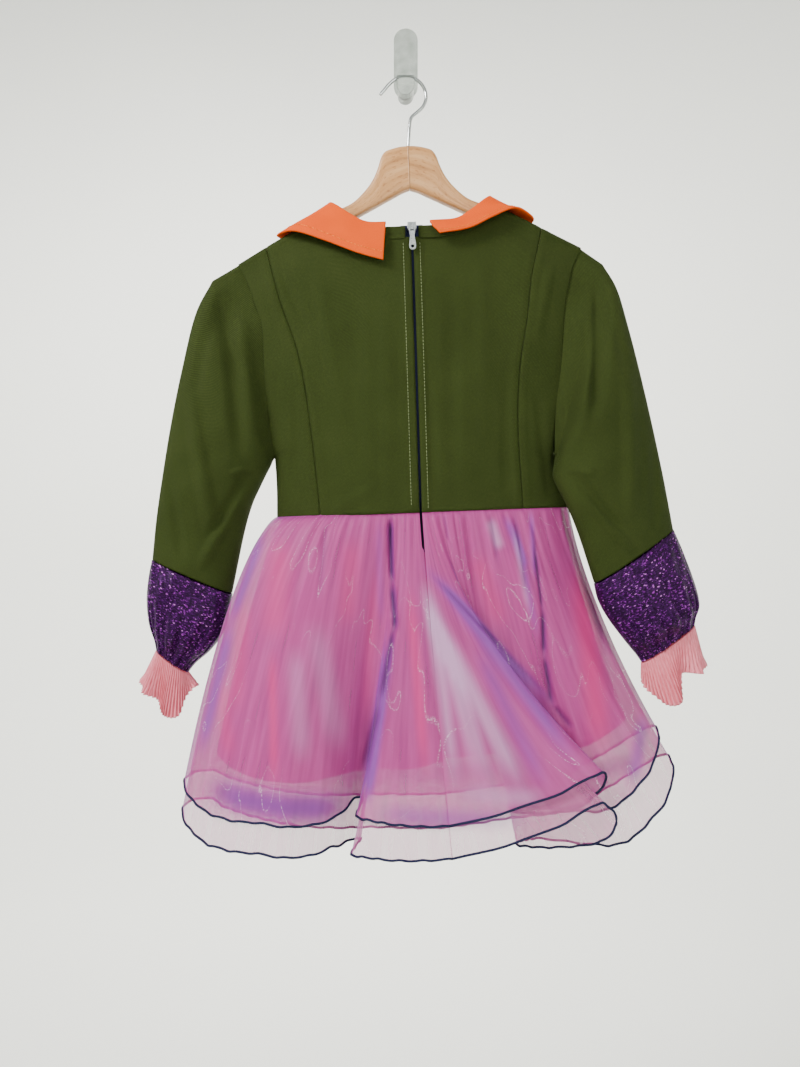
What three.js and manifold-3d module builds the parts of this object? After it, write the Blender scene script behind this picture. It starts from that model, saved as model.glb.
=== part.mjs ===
// Hatter costume: a child's dress seen from its zipped back, on a wooden hanger on a small wall hook.
// Millimetres. +Z up, +X to the right for someone facing the wall, -Y away from the wall (y = 0).
// The zipped back of the dress faces -Y and its plain front faces the wall.
// The dress and hanger are drawn upright in their own frame and then leaned by TILT_DEG about Y.
import * as THREE from 'three';
import Module from 'manifold-3d';

const wasm = await Module();
wasm.setup();

// Sizes that drive the whole part
const TILT_DEG = 2.3;
const CLOTH = 1.2;
const SHEER = 1.0;
const COLLAR_CLOTH = 2.0;
const SEAM = 0.4;
const WAIST_Z = -450;
const WAIST_HALF = 148;
const NECK_SIDE_X = 90;
const NECK_SIDE_Z = -141.5;
const SHOULDER_SLOPE = 0.51;
const ROLL = 7.8;
const HANGER_HALF = 6;
const FRONT_Y = -6.5;
const ZIP_GAP = 1.3;
const ZIP_END_Z = -484;
const RUFFLE_PLEATS = 26;
const CUFF_GATHERS = 12;
const SKIRT_GATHERS = 24;

const group = new THREE.Group();
group.name = 'hatter_costume';

// Plain maths helpers
const clamp = (t, lo, hi) => Math.min(hi, Math.max(lo, t));
const mix = (a, b, t) => a + (b - a) * t;
const smooth = (t) => {
  const c = clamp(t, 0, 1);
  return c * c * (3 - 2 * c);
};
const bump = (t) => (Math.abs(t) >= 1 ? 0 : Math.cos((Math.PI / 2) * t) ** 2);
const quarter = (t) => Math.sqrt(1 - (1 - clamp(t, 0, 1)) ** 2);

// A smooth function through the rows of a table: column 0 is the key, `col` the value.
function through(rows, col) {
  const slope = rows.map((row, i) => {
    const a = rows[Math.max(0, i - 1)];
    const b = rows[Math.min(rows.length - 1, i + 1)];
    return (b[col] - a[col]) / (b[0] - a[0]);
  });
  return (key) => {
    const k = clamp(key, rows[0][0], rows[rows.length - 1][0]);
    let i = 0;
    while (i < rows.length - 2 && k > rows[i + 1][0]) i += 1;
    const h = rows[i + 1][0] - rows[i][0];
    const t = (k - rows[i][0]) / h;
    const p = rows[i][col];
    const q = rows[i + 1][col];
    const m = slope[i] * h;
    const n = slope[i + 1] * h;
    return p * (1 + 2 * t) * (1 - t) ** 2 + m * t * (1 - t) ** 2
      + q * t * t * (3 - 2 * t) + n * t * t * (t - 1);
  };
}

// Colours and finishes, one for each kind of material
const finish = {
  green_twill: [0x46521f, 0.85, 0],
  orange_felt: [0xff8512, 0.8, 0],
  purple_lurex: [0x4a1070, 0.45, 0.1],
  pink_plisse: [0xf09aa0, 0.6, 0],
  pink_satin: [0xe070b8, 0.4, 0],
  organza: [0xc98fd0, 0.35, 0],
  zip_tape: [0x1f2540, 0.8, 0],
  zip_metal: [0xb8bcc0, 0.3, 1],
  beech: [0xd2aa80, 0.55, 0],
  chrome_wire: [0xc8ccd0, 0.15, 1],
  clear_plastic: [0xdfe2df, 0.15, 0],
};

function addMesh(name, geometry, kind, leaned = true) {
  const [color, roughness, metalness] = finish[kind];
  const material = new THREE.MeshStandardMaterial({ color, roughness, metalness });
  if (leaned) geometry.applyMatrix4(new THREE.Matrix4().makeRotationY((-TILT_DEG * Math.PI) / 180));
  const mesh = new THREE.Mesh(geometry, material);
  mesh.name = name;
  group.add(mesh);
}

function indexedGeometry(points, triangles) {
  const geometry = new THREE.BufferGeometry();
  geometry.setAttribute('position', new THREE.Float32BufferAttribute(points.flat(), 3));
  geometry.setIndex(triangles.flat());
  return geometry;
}

// Wall of cloth through a grid of middle points: grid[i][j], i round (u) and j down (v).
// The cloth is pushed half its thickness each way along the surface's own normal.
function clothWall(grid, thickness, closed = false) {
  const nu = grid.length;
  const nv = grid[0].length;
  const at = (i, j) => grid[closed ? (i + nu) % nu : clamp(i, 0, nu - 1)][clamp(j, 0, nv - 1)];
  const outer = [];
  const inner = [];
  for (let i = 0; i < nu; i += 1) {
    for (let j = 0; j < nv; j += 1) {
      const du = new THREE.Vector3(...at(i + 1, j)).sub(new THREE.Vector3(...at(i - 1, j)));
      const dv = new THREE.Vector3(...at(i, j + 1)).sub(new THREE.Vector3(...at(i, j - 1)));
      const n = du.cross(dv).normalize().multiplyScalar(thickness / 2);
      const [x, y, z] = grid[i][j];
      outer.push([x + n.x, y + n.y, z + n.z]);
      inner.push([x - n.x, y - n.y, z - n.z]);
    }
  }
  const count = nu * nv;
  const triangles = [];
  const quad = (a, b, c, d) => triangles.push([a, b, c], [a, c, d]);
  const id = (i, j) => (i % nu) * nv + j;
  const spans = closed ? nu : nu - 1;
  for (let i = 0; i < spans; i += 1) {
    for (let j = 0; j < nv - 1; j += 1) {
      quad(id(i, j), id(i + 1, j), id(i + 1, j + 1), id(i, j + 1));
      quad(count + id(i, j), count + id(i, j + 1), count + id(i + 1, j + 1), count + id(i + 1, j));
    }
    quad(id(i + 1, 0), id(i, 0), count + id(i, 0), count + id(i + 1, 0));
    const e = nv - 1;
    quad(id(i, e), id(i + 1, e), count + id(i + 1, e), count + id(i, e));
  }
  if (!closed) {
    for (let j = 0; j < nv - 1; j += 1) {
      quad(id(0, j), id(0, j + 1), count + id(0, j + 1), count + id(0, j));
      const e = nu - 1;
      quad(id(e, j + 1), id(e, j), count + id(e, j), count + id(e, j + 1));
    }
  }
  return indexedGeometry(outer.concat(inner), triangles);
}

// Solid through closed sections of equal point count, with flat ends.
function loft(sections) {
  const n = sections[0].length;
  const points = sections.flat();
  const triangles = [];
  for (let k = 0; k < sections.length - 1; k += 1) {
    for (let i = 0; i < n; i += 1) {
      const a = k * n + i;
      const b = k * n + ((i + 1) % n);
      triangles.push([a, b, b + n], [a, b + n, a + n]);
    }
  }
  const last = (sections.length - 1) * n;
  for (let i = 1; i < n - 1; i += 1) {
    triangles.push([0, i + 1, i], [last, last + i, last + i + 1]);
  }
  return indexedGeometry(points, triangles);
}

const grid = (us, vs, point) => us.map((u) => vs.map((v) => point(u, v)));
const steps = (n, lo = 0, hi = 1) => Array.from({ length: n + 1 }, (_, i) => mix(lo, hi, i / n));

// The bodice's outline: edge of the body from shoulder tip to waist, columns depth (-z), |x|
const leftEdge = [
  [187, 179], [211, 168], [236, 160], [252, 155], [307, 154], [364, 151], [386, 148],
  [418, 147], [450, WAIST_HALF],
];
const rightEdge = [
  [184, 174], [208, 162], [236, 154], [262, 150], [310, 145], [360, 137], [397, 133],
  [409, 133.5], [428, 139], [450, WAIST_HALF],
];
// Princess seams, columns depth (-z), |x|
const leftPrincess = [[160, 151], [171, 149], [232, 134.7], [287, 118], [355, 109], [450, 102]];
const rightPrincess = [
  [155, 134], [169, 132], [215, 119], [261, 111.6], [307, 102.5], [364, 98], [450, 100],
];
// Back neckline under the band, columns |x|, z
const backNeck = [
  [0, -176], [25, -175.5], [48, -172], [66, -163], [80, -151], [NECK_SIDE_X, NECK_SIDE_Z],
];
// Front neckline under the band, hidden and drawn plainly
const frontNeck = [
  [0, -207], [25, -204.5], [48, -196], [66, -182], [80, -164], [NECK_SIDE_X, NECK_SIDE_Z],
];
// How far the back stands out from the hanger, columns depth (-z), mm
const backFall = [[140, 6], [180, 10], [230, 15], [300, 18], [380, 17], [450, 15]];

const armpitDepth = { left: 386, right: 397 };
const tipDepth = { left: 187, right: 184 };
const edgeOf = { left: through(leftEdge, 1), right: through(rightEdge, 1) };
const princessOf = { left: through(leftPrincess, 1), right: through(rightPrincess, 1) };
const backNeckZ = through(backNeck, 1);
const frontNeckZ = through(frontNeck, 1);
const backFallAt = through(backFall, 1);
const sideOf = (x) => (x < 0 ? 'left' : 'right');
const signOf = { left: -1, right: 1 };

const shoulderZ = (x) => NECK_SIDE_Z - SHOULDER_SLOPE * (Math.abs(x) - NECK_SIDE_X);
const hangerY = (x) => -27 + 13 * (Math.abs(x) / 175) ** 1.6;
const zipX = (z) => -2.6 * clamp((-164 - z) / 288, 0, 1) - 3.8 * smooth((WAIST_Z - z) / 34);

// Share of the body's full depth left at x: flat across the back, rounded to nothing at the side.
function sideShare(x, z, power) {
  const side = sideOf(x);
  const t = (-z - tipDepth[side]) / (armpitDepth[side] - tipDepth[side]);
  const slack = t > 0 && t < 1 ? 28 * Math.sqrt(t * (1 - t)) : 0;
  const reach = Math.abs(x) / (edgeOf[side](-z) + slack);
  return Math.sqrt(Math.max(0, 1 - reach ** power));
}

// The right side seam is turned a little towards the viewer, under the sleeve.
const sideTurn = (x, z) => (x <= 0 ? 0 : -9 * bump((z + 397) / 110) * (x / 150) ** 6);

function backY(x, z) {
  const drop = Math.max(0, shoulderZ(x) - z);
  const fall = backFallAt(-z) * sideShare(x, z, 4) * smooth((drop - 2) / 50);
  return hangerY(x) - ROLL * quarter(drop / ROLL) - fall + sideTurn(x, z);
}

function frontY(x, z) {
  const drop = Math.max(0, shoulderZ(x) - z);
  const power = 7 + 16 * (1 - smooth((-z - tipDepth[sideOf(x)] + 14) / 60));
  const share = sideShare(x, z, power);
  const flat = FRONT_Y - (hangerY(x) + ROLL);
  return hangerY(x) + ROLL * quarter(drop / ROLL) * (2 * share - 1)
    + share * flat * smooth(drop / 70) + sideTurn(x, z);
}

// Back panels: a centre back and a side back on each half, joined along the princess seam.
// The rows crowd at the shoulder so that the cloth rolls over the hanger's arm.
const panelRows = [0, 0.004, 0.013, 0.03, 0.07, 0.15, 0.27, 0.42, 0.58, 0.75, 0.9, 1];
const neckColumns = [0, 0.25, 0.5, 0.75, 0.88, 0.96, 1];
const topZ = (x, neck) => (Math.abs(x) < NECK_SIDE_X ? neck(Math.abs(x)) : shoulderZ(x));

function centreBack(side) {
  const s = signOf[side];
  const edge = princessOf[side];
  const top = edge(side === 'left' ? 171 : 164);
  const columns = neckColumns.map((c) => (c * NECK_SIDE_X) / top).concat([0.8, 1]);
  return grid(columns, panelRows, (r, v) => {
    const start = topZ(top * r, backNeckZ);
    const z = mix(start, WAIST_Z, v);
    const x = mix(zipX(z) + s * ZIP_GAP, s * (edge(-z) - SEAM / 2), r);
    return [x, backY(x, z), z];
  });
}

function sideBack(side) {
  const s = signOf[side];
  return grid(steps(4), panelRows, (r, v) => {
    const seamTop = princessOf[side](side === 'left' ? 171 : 164);
    const start = shoulderZ(mix(seamTop, edgeOf[side](tipDepth[side]), r));
    const z = mix(start, WAIST_Z, v);
    const x = s * mix(princessOf[side](-z) + SEAM / 2, edgeOf[side](-z) - SEAM / 2, r);
    return [x, backY(x, z), z];
  });
}

// Left panels run outwards towards -X, so their grids are turned to keep the outside facing -Y.
const facing = (cells, flip) => (flip ? cells.slice().reverse() : cells);

addMesh('back_panel_left', clothWall(facing(centreBack('left'), true), CLOTH), 'green_twill');
addMesh('back_panel_right', clothWall(centreBack('right'), CLOTH), 'green_twill');
addMesh('side_panel_left', clothWall(facing(sideBack('left'), true), CLOTH), 'green_twill');
addMesh('side_panel_right', clothWall(sideBack('right'), CLOTH), 'green_twill');

// Front panel, hidden against the wall: one piece from side seam to side seam, set 0.4 mm in
// from the back's shoulder edge.
const frontHalf = [0, 0.2, 0.38, 0.5, 0.68, 0.86, 1];
const frontColumns = frontHalf.slice(1).reverse().map((c) => -c).concat(frontHalf);
const frontPanel = grid(frontColumns, panelRows, (c, v) => {
  const side = c < 0 ? 'left' : 'right';
  const s = Math.sign(c) || 1;
  const tip = edgeOf[side](tipDepth[side]);
  const xTop = s * (Math.abs(c) <= 0.5
    ? Math.abs(c) * 2 * NECK_SIDE_X
    : mix(NECK_SIDE_X, tip, (Math.abs(c) - 0.5) * 2));
  const start = topZ(xTop, frontNeckZ) - 0.9;
  const z = mix(start, WAIST_Z, v);
  const x = s * (edgeOf[side](-z) - SEAM / 2) * (Math.abs(xTop) / tip);
  const shoulderGap = 1.8 * (1 - smooth((start - z) / 8));
  return [x, frontY(x, z) + shoulderGap, z];
});
addMesh('front_panel', clothWall(facing(frontPanel, true), CLOTH), 'green_twill');

// Neck loops, drawn from the back opening round one side to the centre front.
// Columns: share along the loop, |x|, y, z for the band's foot and its top edge.
const bandFoot = [
  [0, 6.5, -45, -175.2], [0.12, 25, -44.5, -174.9], [0.26, 48, -42, -171.2], [0.38, 67, -38, -161.5],
  [0.48, 81, -33, -146], [0.56, 87.5, -22, -137.8], [0.6, 85.5, -13.5, -145],
  [0.64, 81, -10.5, -156], [0.74, 66, -8, -178], [0.86, 44, -6.5, -195], [1, 0, -6.5, -205],
];
const bandTop = [
  [0, 6.5, -44, -164.5], [0.12, 24, -43.5, -164.2], [0.26, 45, -41, -162], [0.38, 61, -37, -152],
  [0.48, 74, -31.5, -140.5], [0.56, 80.5, -23, -134.5], [0.6, 79, -15.5, -138.5],
  [0.64, 75, -12.5, -147], [0.74, 60, -10, -167], [0.86, 40, -8.5, -184.5], [1, 0, -8.5, -194],
];
const loopPoint = (rows) => {
  const [x, y, z] = [through(rows, 1), through(rows, 2), through(rows, 3)];
  return (t) => [x(t), y(t), z(t)];
};
const footAt = loopPoint(bandFoot);
const bandTopAt = loopPoint(bandTop);

// The band runs from the zip round the left side to the front and back round the right to the zip.
const bandSpans = 18;
const bandGrid = steps(2 * bandSpans, 0, 2 * bandSpans).map((i) => {
  const s = i <= bandSpans ? -1 : 1;
  const t = i <= bandSpans ? i / bandSpans : 2 - i / bandSpans;
  const [fx, fy, fz] = footAt(t);
  const [tx, ty, tz] = bandTopAt(t);
  return [[s * tx, ty, tz], [(s * (tx + fx)) / 2, (ty + fy) / 2, (tz + fz) / 2], [s * fx, fy, fz + 0.4]];
});
addMesh('neck_band', clothWall(facing(bandGrid, true), CLOTH), 'green_twill');

// Collar halves: each is folded over the band's top edge and lies outside band and shoulder.
// Columns: share along the half from the zip (0) to the centre front (1), then the outer edge
// |x|, y, z. The left and right halves hang a little differently at the back.
const collarEdge = {
  left: [
    [0, 29.5, -54.5, -200.5], [0.14, 55, -54, -192], [0.3, 88, -49, -176.5], [0.44, 118, -39.5, -163],
    [0.52, 134, -28, -161], [0.58, 137, -18, -163], [0.66, 124, -7, -172], [0.78, 96, -3.4, -193],
    [0.9, 58, -3.4, -216], [1, 22, -3.4, -231],
  ],
  right: [
    [0, 27, -54, -176], [0.14, 56, -54, -172], [0.3, 82, -48, -159], [0.44, 106, -38, -148],
    [0.52, 121, -28, -152], [0.58, 126, -18, -156], [0.66, 116, -7, -168], [0.78, 92, -3.4, -190],
    [0.9, 56, -3.4, -214], [1, 22, -3.4, -230],
  ],
};
// Across the collar: share from fold to outer edge, then how far the fold stands off the band.
const collarAcross = [
  { share: 0, out: 0, up: 2.8 }, { share: 0, out: 1.8, up: 3.8 }, { share: 0.03, out: 3.6, up: 2.2 },
  { share: 0.3, out: 4.2, up: 0 }, { share: 0.65, out: 2.6, up: 0 }, { share: 1, out: 0, up: 0 },
];
const collarShares = [
  0, 0.07, 0.14, 0.22, 0.3, 0.37, 0.43, 0.48, 0.52, 0.56, 0.6, 0.64, 0.69, 0.75, 0.82, 0.9, 1,
];
// Share across the collar up to which it stands free, above the necklines.
const COLLAR_FREE = 0.2;
// Keeps a point of the collar clear of the shoulder, above it or outside its front or back.
function clearOfBody(x, y, z, gap) {
  const axis = shoulderZ(x) - ROLL;
  const away = Math.hypot(y - hangerY(x), z - axis);
  const reach = ROLL + gap + 2.7;
  if (z > axis && away < reach) {
    return [hangerY(x) + ((y - hangerY(x)) * reach) / away, axis + ((z - axis) * reach) / away];
  }
  if (z > axis) return [y, z];
  const bend = 3 * (1 - smooth((axis - z) / 25));
  if (y < hangerY(x)) return [Math.min(y, backY(x, z) - gap - bend), z];
  return [Math.max(y, frontY(x, z) + gap + bend), z];
}
function collar(side) {
  const s = signOf[side];
  const edgeAt = loopPoint(collarEdge[side]);
  return collarShares.map((t) => {
    const foldShare = mix(side === 'left' ? 0.13 : 0.08, 0.93, t);
    const [tx, ty, tz] = bandTopAt(foldShare);
    const [ex, ey, ez] = edgeAt(t);
    // Outward direction across the fold, level with the floor.
    const before = bandTopAt(foldShare - 0.03);
    const after = bandTopAt(foldShare + 0.03);
    const along = new THREE.Vector3(after[0] - before[0], after[1] - before[1], 0).normalize();
    const away = [along.y * -1, along.x * 1];
    const turn = away[0] * ex + away[1] * (ey + 25) < 0 ? -1 : 1;
    return collarAcross.map(({ share, out, up }) => {
      const x = s * (mix(tx, ex, share) + turn * away[0] * out);
      const y = mix(ty, ey, share) + turn * away[1] * out;
      const z = mix(tz, ez, share) + up;
      return share < COLLAR_FREE ? [x, y, z] : [x, ...clearOfBody(x, y, z, 2.3)];
    });
  });
}
addMesh('collar_left', clothWall(facing(collar('left'), true), COLLAR_CLOTH), 'orange_felt');
addMesh('collar_right', clothWall(collar('right'), COLLAR_CLOTH), 'orange_felt');

// Sleeves: flattened rings from the armhole to the cuff seam. Each ring has an outer point, an
// inner point and how far it stands out to the viewer and to the wall at its middle.
// Columns: ring number, outer x, z, y, inner x, z, y, out to the viewer, out to the wall.
const leftSleeve = [
  [1, -205, -204, -17, -150.5, -390, -24, 24, 13], [2, -222, -240, -24, -153, -396, -26, 28, 19],
  [3, -237, -298, -29, -158, -405, -27, 29, 22], [4, -249, -350, -31, -165, -418, -27, 29, 23],
  [5, -259, -398, -31, -173.5, -435, -26, 27, 22], [6, -268, -444, -30, -183, -464, -25, 24, 19],
  [7, -274.5, -485.5, -28, -197.5, -523, -25, 21, 17],
];
const rightSleeve = [
  [1, 194, -203, -17, 134.5, -399, -42, 22, 12], [2, 205, -232, -26, 131.5, -409, -49, 28, 14],
  [3, 214, -278, -33, 129, -420, -54, 30, 15], [4, 223, -325, -36, 133, -433, -58, 29, 15],
  [5, 232, -376, -38, 140, -449, -61, 28, 15], [6, 241, -430, -39, 150, -477, -62, 25, 14],
  [7, 247.5, -476, -40, 163.5, -525, -62, 22, 14],
];
const cuffRings = {
  left: [
    [0, -275, -486.5, -28, -197.5, -524.6, -25, 22, 18], [1, -279, -505, -28, -201, -542, -26, 25, 19],
    [2, -281.5, -524, -28, -207, -562, -27, 26, 19], [3, -280, -549, -28, -221, -580, -28, 23, 18],
    [4, -276, -567, -28, -236, -592, -28, 15, 13], [5, -274.5, -577, -28, -244, -601, -28, 12, 11],
  ],
  right: [
    [0, 248, -477, -40, 163.5, -526.6, -62, 23, 15], [1, 256, -500, -42, 167, -542, -61, 26, 18],
    [2, 264, -526, -44, 176, -560, -60, 27, 20], [3, 268, -550, -46, 192, -583, -58, 24, 18],
    [4, 265, -563, -47, 203, -597, -55, 15, 13], [5, 263, -571, -48, 208.5, -605, -54, 12, 11],
  ],
};
const ringAt = (rows) => {
  const columns = [1, 2, 3, 4, 5, 6, 7, 8].map((c) => through(rows, c));
  return (k) => columns.map((f) => f(k));
};
const pinch = (value, power) => Math.sign(value) * Math.abs(value) ** power;
// Point of a ring at angle a: 0 at its outer point, a quarter turn facing the viewer.
function ringPoint([ox, oz, oy, ix, iz, iy, toViewer, toWall], a) {
  const t = (1 - Math.cos(a)) / 2;
  const lift = pinch(Math.sin(a), 0.8);
  return [mix(ox, ix, t), mix(oy, iy, t) - (lift > 0 ? toViewer : toWall) * lift, mix(oz, iz, t)];
}
// The armhole: the edges of the back and front panels, met by the sleeve's first ring. Low down
// the right sleeve's seam comes forward, where that sleeve hangs in front of the body.
const ARMHOLE_GAP = 1.5;
const ARMPIT_FORWARD = 12;
function armholePoint(side, a) {
  const s = signOf[side];
  const t = (1 - Math.cos(a)) / 2;
  const z = -mix(tipDepth[side], armpitDepth[side], t);
  const x = s * edgeOf[side](-z);
  const y = Math.sin(a) > 0 ? backY(x, z) : frontY(x, z);
  const seam = mix(backY(x, z), frontY(x, z), 0.5);
  const low = side === 'right' ? t ** 6 : 0;
  const atEnd = Math.abs(Math.sin(a)) < 1e-6;
  return [
    x + s * (ARMHOLE_GAP + 1.9 * low),
    (atEnd ? seam : y) - ARMPIT_FORWARD * low,
    z + 0.6 * t,
  ];
}
// The tuck at the sleeve head: a dent just below the shoulder tip, on the viewer's side.
const tuck = (a, k) => 7 * bump((a - 0.95) / 0.42) * bump((k - 0.9) / 1.1);
function sleeve(side) {
  const s = signOf[side];
  const ring = ringAt(side === 'left' ? leftSleeve : rightSleeve);
  const around = steps(26, 0, 2 * Math.PI).slice(0, -1);
  const down = [0, 0.5, 1, 1.6, 2.3, 3, 4, 5, 6, 7];
  const cells = grid(around, down, (a, k) => {
    const [x, y, z] = ringPoint(ring(Math.max(1, k)), a);
    if (k >= 1) return [x, y + tuck(a, k), z];
    const [ax, ay, az] = armholePoint(side, a);
    return [mix(ax, x, k), mix(ay, y, k) + tuck(a, k), mix(az, z, k)];
  });
  return facing(cells, s > 0);
}
function cuff(side) {
  const ring = ringAt(cuffRings[side]);
  const around = steps(CUFF_GATHERS * 3, 0, 2 * Math.PI).slice(0, -1);
  const cells = grid(around, [0, 0.7, 1.6, 2.6, 3.5, 4.3, 5], (a, k) => {
    const [ox, oz, oy, ix, iz, iy, v, w] = ring(k);
    const gather = 1 + 0.1 * Math.cos(CUFF_GATHERS * a + 0.6 * k) * smooth((k - 0.6) / 3.4);
    return ringPoint([ox, oz, oy, ix, iz, iy, v * gather, w * gather], a);
  });
  return facing(cells, signOf[side] > 0);
}
addMesh('sleeve_left', clothWall(sleeve('left'), CLOTH, true), 'green_twill');
addMesh('sleeve_right', clothWall(sleeve('right'), CLOTH, true), 'green_twill');
addMesh('cuff_left', clothWall(cuff('left'), CLOTH, true), 'purple_lurex');
addMesh('cuff_right', clothWall(cuff('right'), CLOTH, true), 'purple_lurex');

// Wrist ruffles: fine pleats that open into a few flutes at the hem.
// Columns: angle as a share of the ring, hem x, y, z.
const ruffleHem = {
  left: [
    [0, -289, -30, -608], [0.1, -284, -50, -616], [0.2, -270, -44, -628], [0.28, -263, -56, -640],
    [0.36, -249, -52, -640], [0.43, -243, -38, -622], [0.5, -236, -30, -613], [0.62, -246, -12, -622],
    [0.75, -264, -7, -624], [0.88, -280, -14, -616], [1, -289, -30, -608],
  ],
  right: [
    [0, 271, -48, -612], [0.1, 262, -68, -617], [0.2, 243, -64, -618], [0.3, 240, -76, -642],
    [0.38, 224, -74, -644], [0.44, 214, -62, -634], [0.5, 208, -54, -625], [0.62, 222, -40, -630],
    [0.75, 240, -33, -626], [0.88, 258, -36, -618], [1, 271, -48, -612],
  ],
};
function ruffle(side) {
  const rows = ruffleHem[side];
  const [hx, hy, hz] = [through(rows, 1), through(rows, 2), through(rows, 3)];
  const wrist = cuffRings[side][5].slice(1);
  const around = steps(RUFFLE_PLEATS * 2, 0, 1).slice(0, -1);
  const drop = side === 'left' ? [-1, -2.6] : [0.6, -2.8];
  const cells = around.map((t, i) => {
    const a = t * 2 * Math.PI;
    const [wx, wy, wz] = ringPoint(wrist, a);
    const start = [wx + drop[0] * 0.4, wy, wz + drop[1] * 0.5];
    const pleat = (i % 2 ? 1 : -1) * 1.1;
    const hem = [hx(t), hy(t), hz(t)];
    const middle = [(wx + hem[0]) / 2, (wy + hem[1]) / 2, (wz + hem[2]) / 2];
    const centre = [(wrist[0] + wrist[3]) / 2, (wrist[2] + wrist[5]) / 2];
    const away = new THREE.Vector2(wx - centre[0], (wy - centre[1]) * 2).normalize();
    return [start, middle, hem].map(([x, y, z], j) => [
      x + away.x * pleat * (0.4 + 0.5 * j), y + away.y * pleat * (0.4 + 0.5 * j), z,
    ]);
  });
  return facing(cells, signOf[side] > 0);
}
addMesh('ruffle_left', clothWall(ruffle('left'), SHEER, true), 'pink_plisse');
addMesh('ruffle_right', clothWall(ruffle('right'), SHEER, true), 'pink_plisse');

// Waist seam ring of the bodice by station: mm along the waist from the zip, left side first.
const BACK_RUN = WAIST_HALF;
const FULL_RUN = 4 * WAIST_HALF;
function waistPoint(station, inset) {
  const side = station < FULL_RUN / 2 ? 'left' : 'right';
  const onBack = station < BACK_RUN || station > FULL_RUN - BACK_RUN;
  const half = WAIST_HALF - inset;
  let x = station - 2 * WAIST_HALF;
  if (station < BACK_RUN) x = mix(zipX(WAIST_Z) - ZIP_GAP, -half, station / BACK_RUN);
  else if (!onBack) x = mix(-half, half, (station - BACK_RUN) / (2 * WAIST_HALF));
  else x = mix(half, zipX(WAIST_Z) + ZIP_GAP, (station - FULL_RUN + BACK_RUN) / BACK_RUN);
  const body = signOf[side] * Math.min(Math.abs(x) * (WAIST_HALF / half), WAIST_HALF - 0.01);
  const y = onBack ? backY(body, WAIST_Z) : frontY(body, WAIST_Z);
  const middle = backY(signOf[side] * WAIST_HALF * 0.999, WAIST_Z);
  return [x, mix(y, middle, inset / 22)];
}

// Over layer of organza at its hem. It falls in a lobe at the left, a wide flap at the middle that
// laps over the cloth to its right, and a lobe at the right; the wall side is gentler.
// Columns: waist station, hem x, y, z, flare (power of the run outwards with the drop).
const overHem = [
  [0, 9, -107, -741, 1.3], [8, -34, -105, -739.5, 1.35], [14, -61, -100, -735, 1.4],
  [19, -75, -92, -733.5, 1.5], [24, -73, -80, -729, 1.5], [29, -70, -69, -724, 1.3],
  [36, -78, -66, -724, 1.1], [44, -88, -78, -732, 0.95], [54, -105, -92, -737, 0.85],
  [68, -131, -104, -737, 0.78], [86, -168, -102, -732.5, 0.7], [106, -207, -86, -731, 0.62],
  [126, -236, -66, -719, 0.58], [140, -248, -46, -706, 0.58],
  [148, -240, -34, -702, 0.64], [158, -225, -20, -704, 0.7],
  [176, -212, -9, -715, 0.7], [208, -172, -5, -729, 0.8], [240, -120, -12, -736, 0.8],
  [275, -58, -5, -740, 0.8], [310, 5, -12, -740, 0.8], [345, 70, -5, -736, 0.8],
  [380, 130, -12, -727, 0.9], [412, 180, -6, -706, 1.1], [436, 214, -14, -684, 1.3],
  [444, 225, -28, -675, 1.4], [454, 226, -38, -678, 1.4],
  [464, 224, -47, -690, 1.4], [477, 209, -62, -711, 1.35],
  [490, 187, -75, -728, 1.2], [504, 165, -78, -741, 1.1], [518, 142, -68, -745, 1.0],
  [534, 105, -62, -742, 1.05], [548, 80, -65, -741, 1.15], [556, 76, -73, -741, 1.25],
  [563, 98, -79, -742, 1.4], [571, 134, -83, -737, 1.6], [577, 158, -88, -716, 1.6],
  [581, 159, -95, -702, 1.6], [584, 143, -100, -703.5, 1.6], [586.5, 116, -104, -715, 1.55],
  [588.5, 86, -106, -724, 1.5], [590, 58, -108, -731, 1.4], [592, 10.2, -107.3, -741, 1.3],
];
const overAt = [1, 2, 3, 4].map((c) => through(overHem, c));
const CLOTH_UNDER = 3.8;
const underDrop = [[0, 0.1], [25, 0.125], [36, 0.15], [50, 0.1], [150, 0.105], [440, 0.12], [592, 0.1]];
const underDropAt = through(underDrop, 1);
// Small gathers along the waist seam, shared by the layers so that they nest.
const gather = (station, v) => 1.8 * Math.cos((2 * Math.PI * SKIRT_GATHERS * station) / FULL_RUN)
  * smooth(v / 0.05) * (1 - smooth(v / 0.45));

function overPoint(station, v) {
  const [hx, hy, hz, flare] = overAt.map((f) => f(station));
  const [wx, wy] = waistPoint(station, 0.4);
  const run = v ** flare;
  const lift = v ** Math.min(flare, 0.85);
  const out = station < BACK_RUN || station > FULL_RUN - BACK_RUN ? -1 : 0.4;
  const ripple = out * Math.abs(gather(station, v));
  return [mix(wx, hx, run), mix(wy, hy, lift) + ripple, mix(WAIST_Z - 1, hz, v)];
}
// The layer's two edges stand a little apart at the back seam, more where the zip ends.
function overLayer(station, v) {
  const [x, y, z] = overPoint(station, v);
  const open = 0.4 + (v < 0.2 ? 0.3 * (1 - smooth((ZIP_END_Z - z) / 6)) : 0);
  if (station < 0.5) return [x - open, y, z];
  if (station > FULL_RUN - 0.5) return [x + open, y, z];
  return [x, y, z];
}
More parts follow.
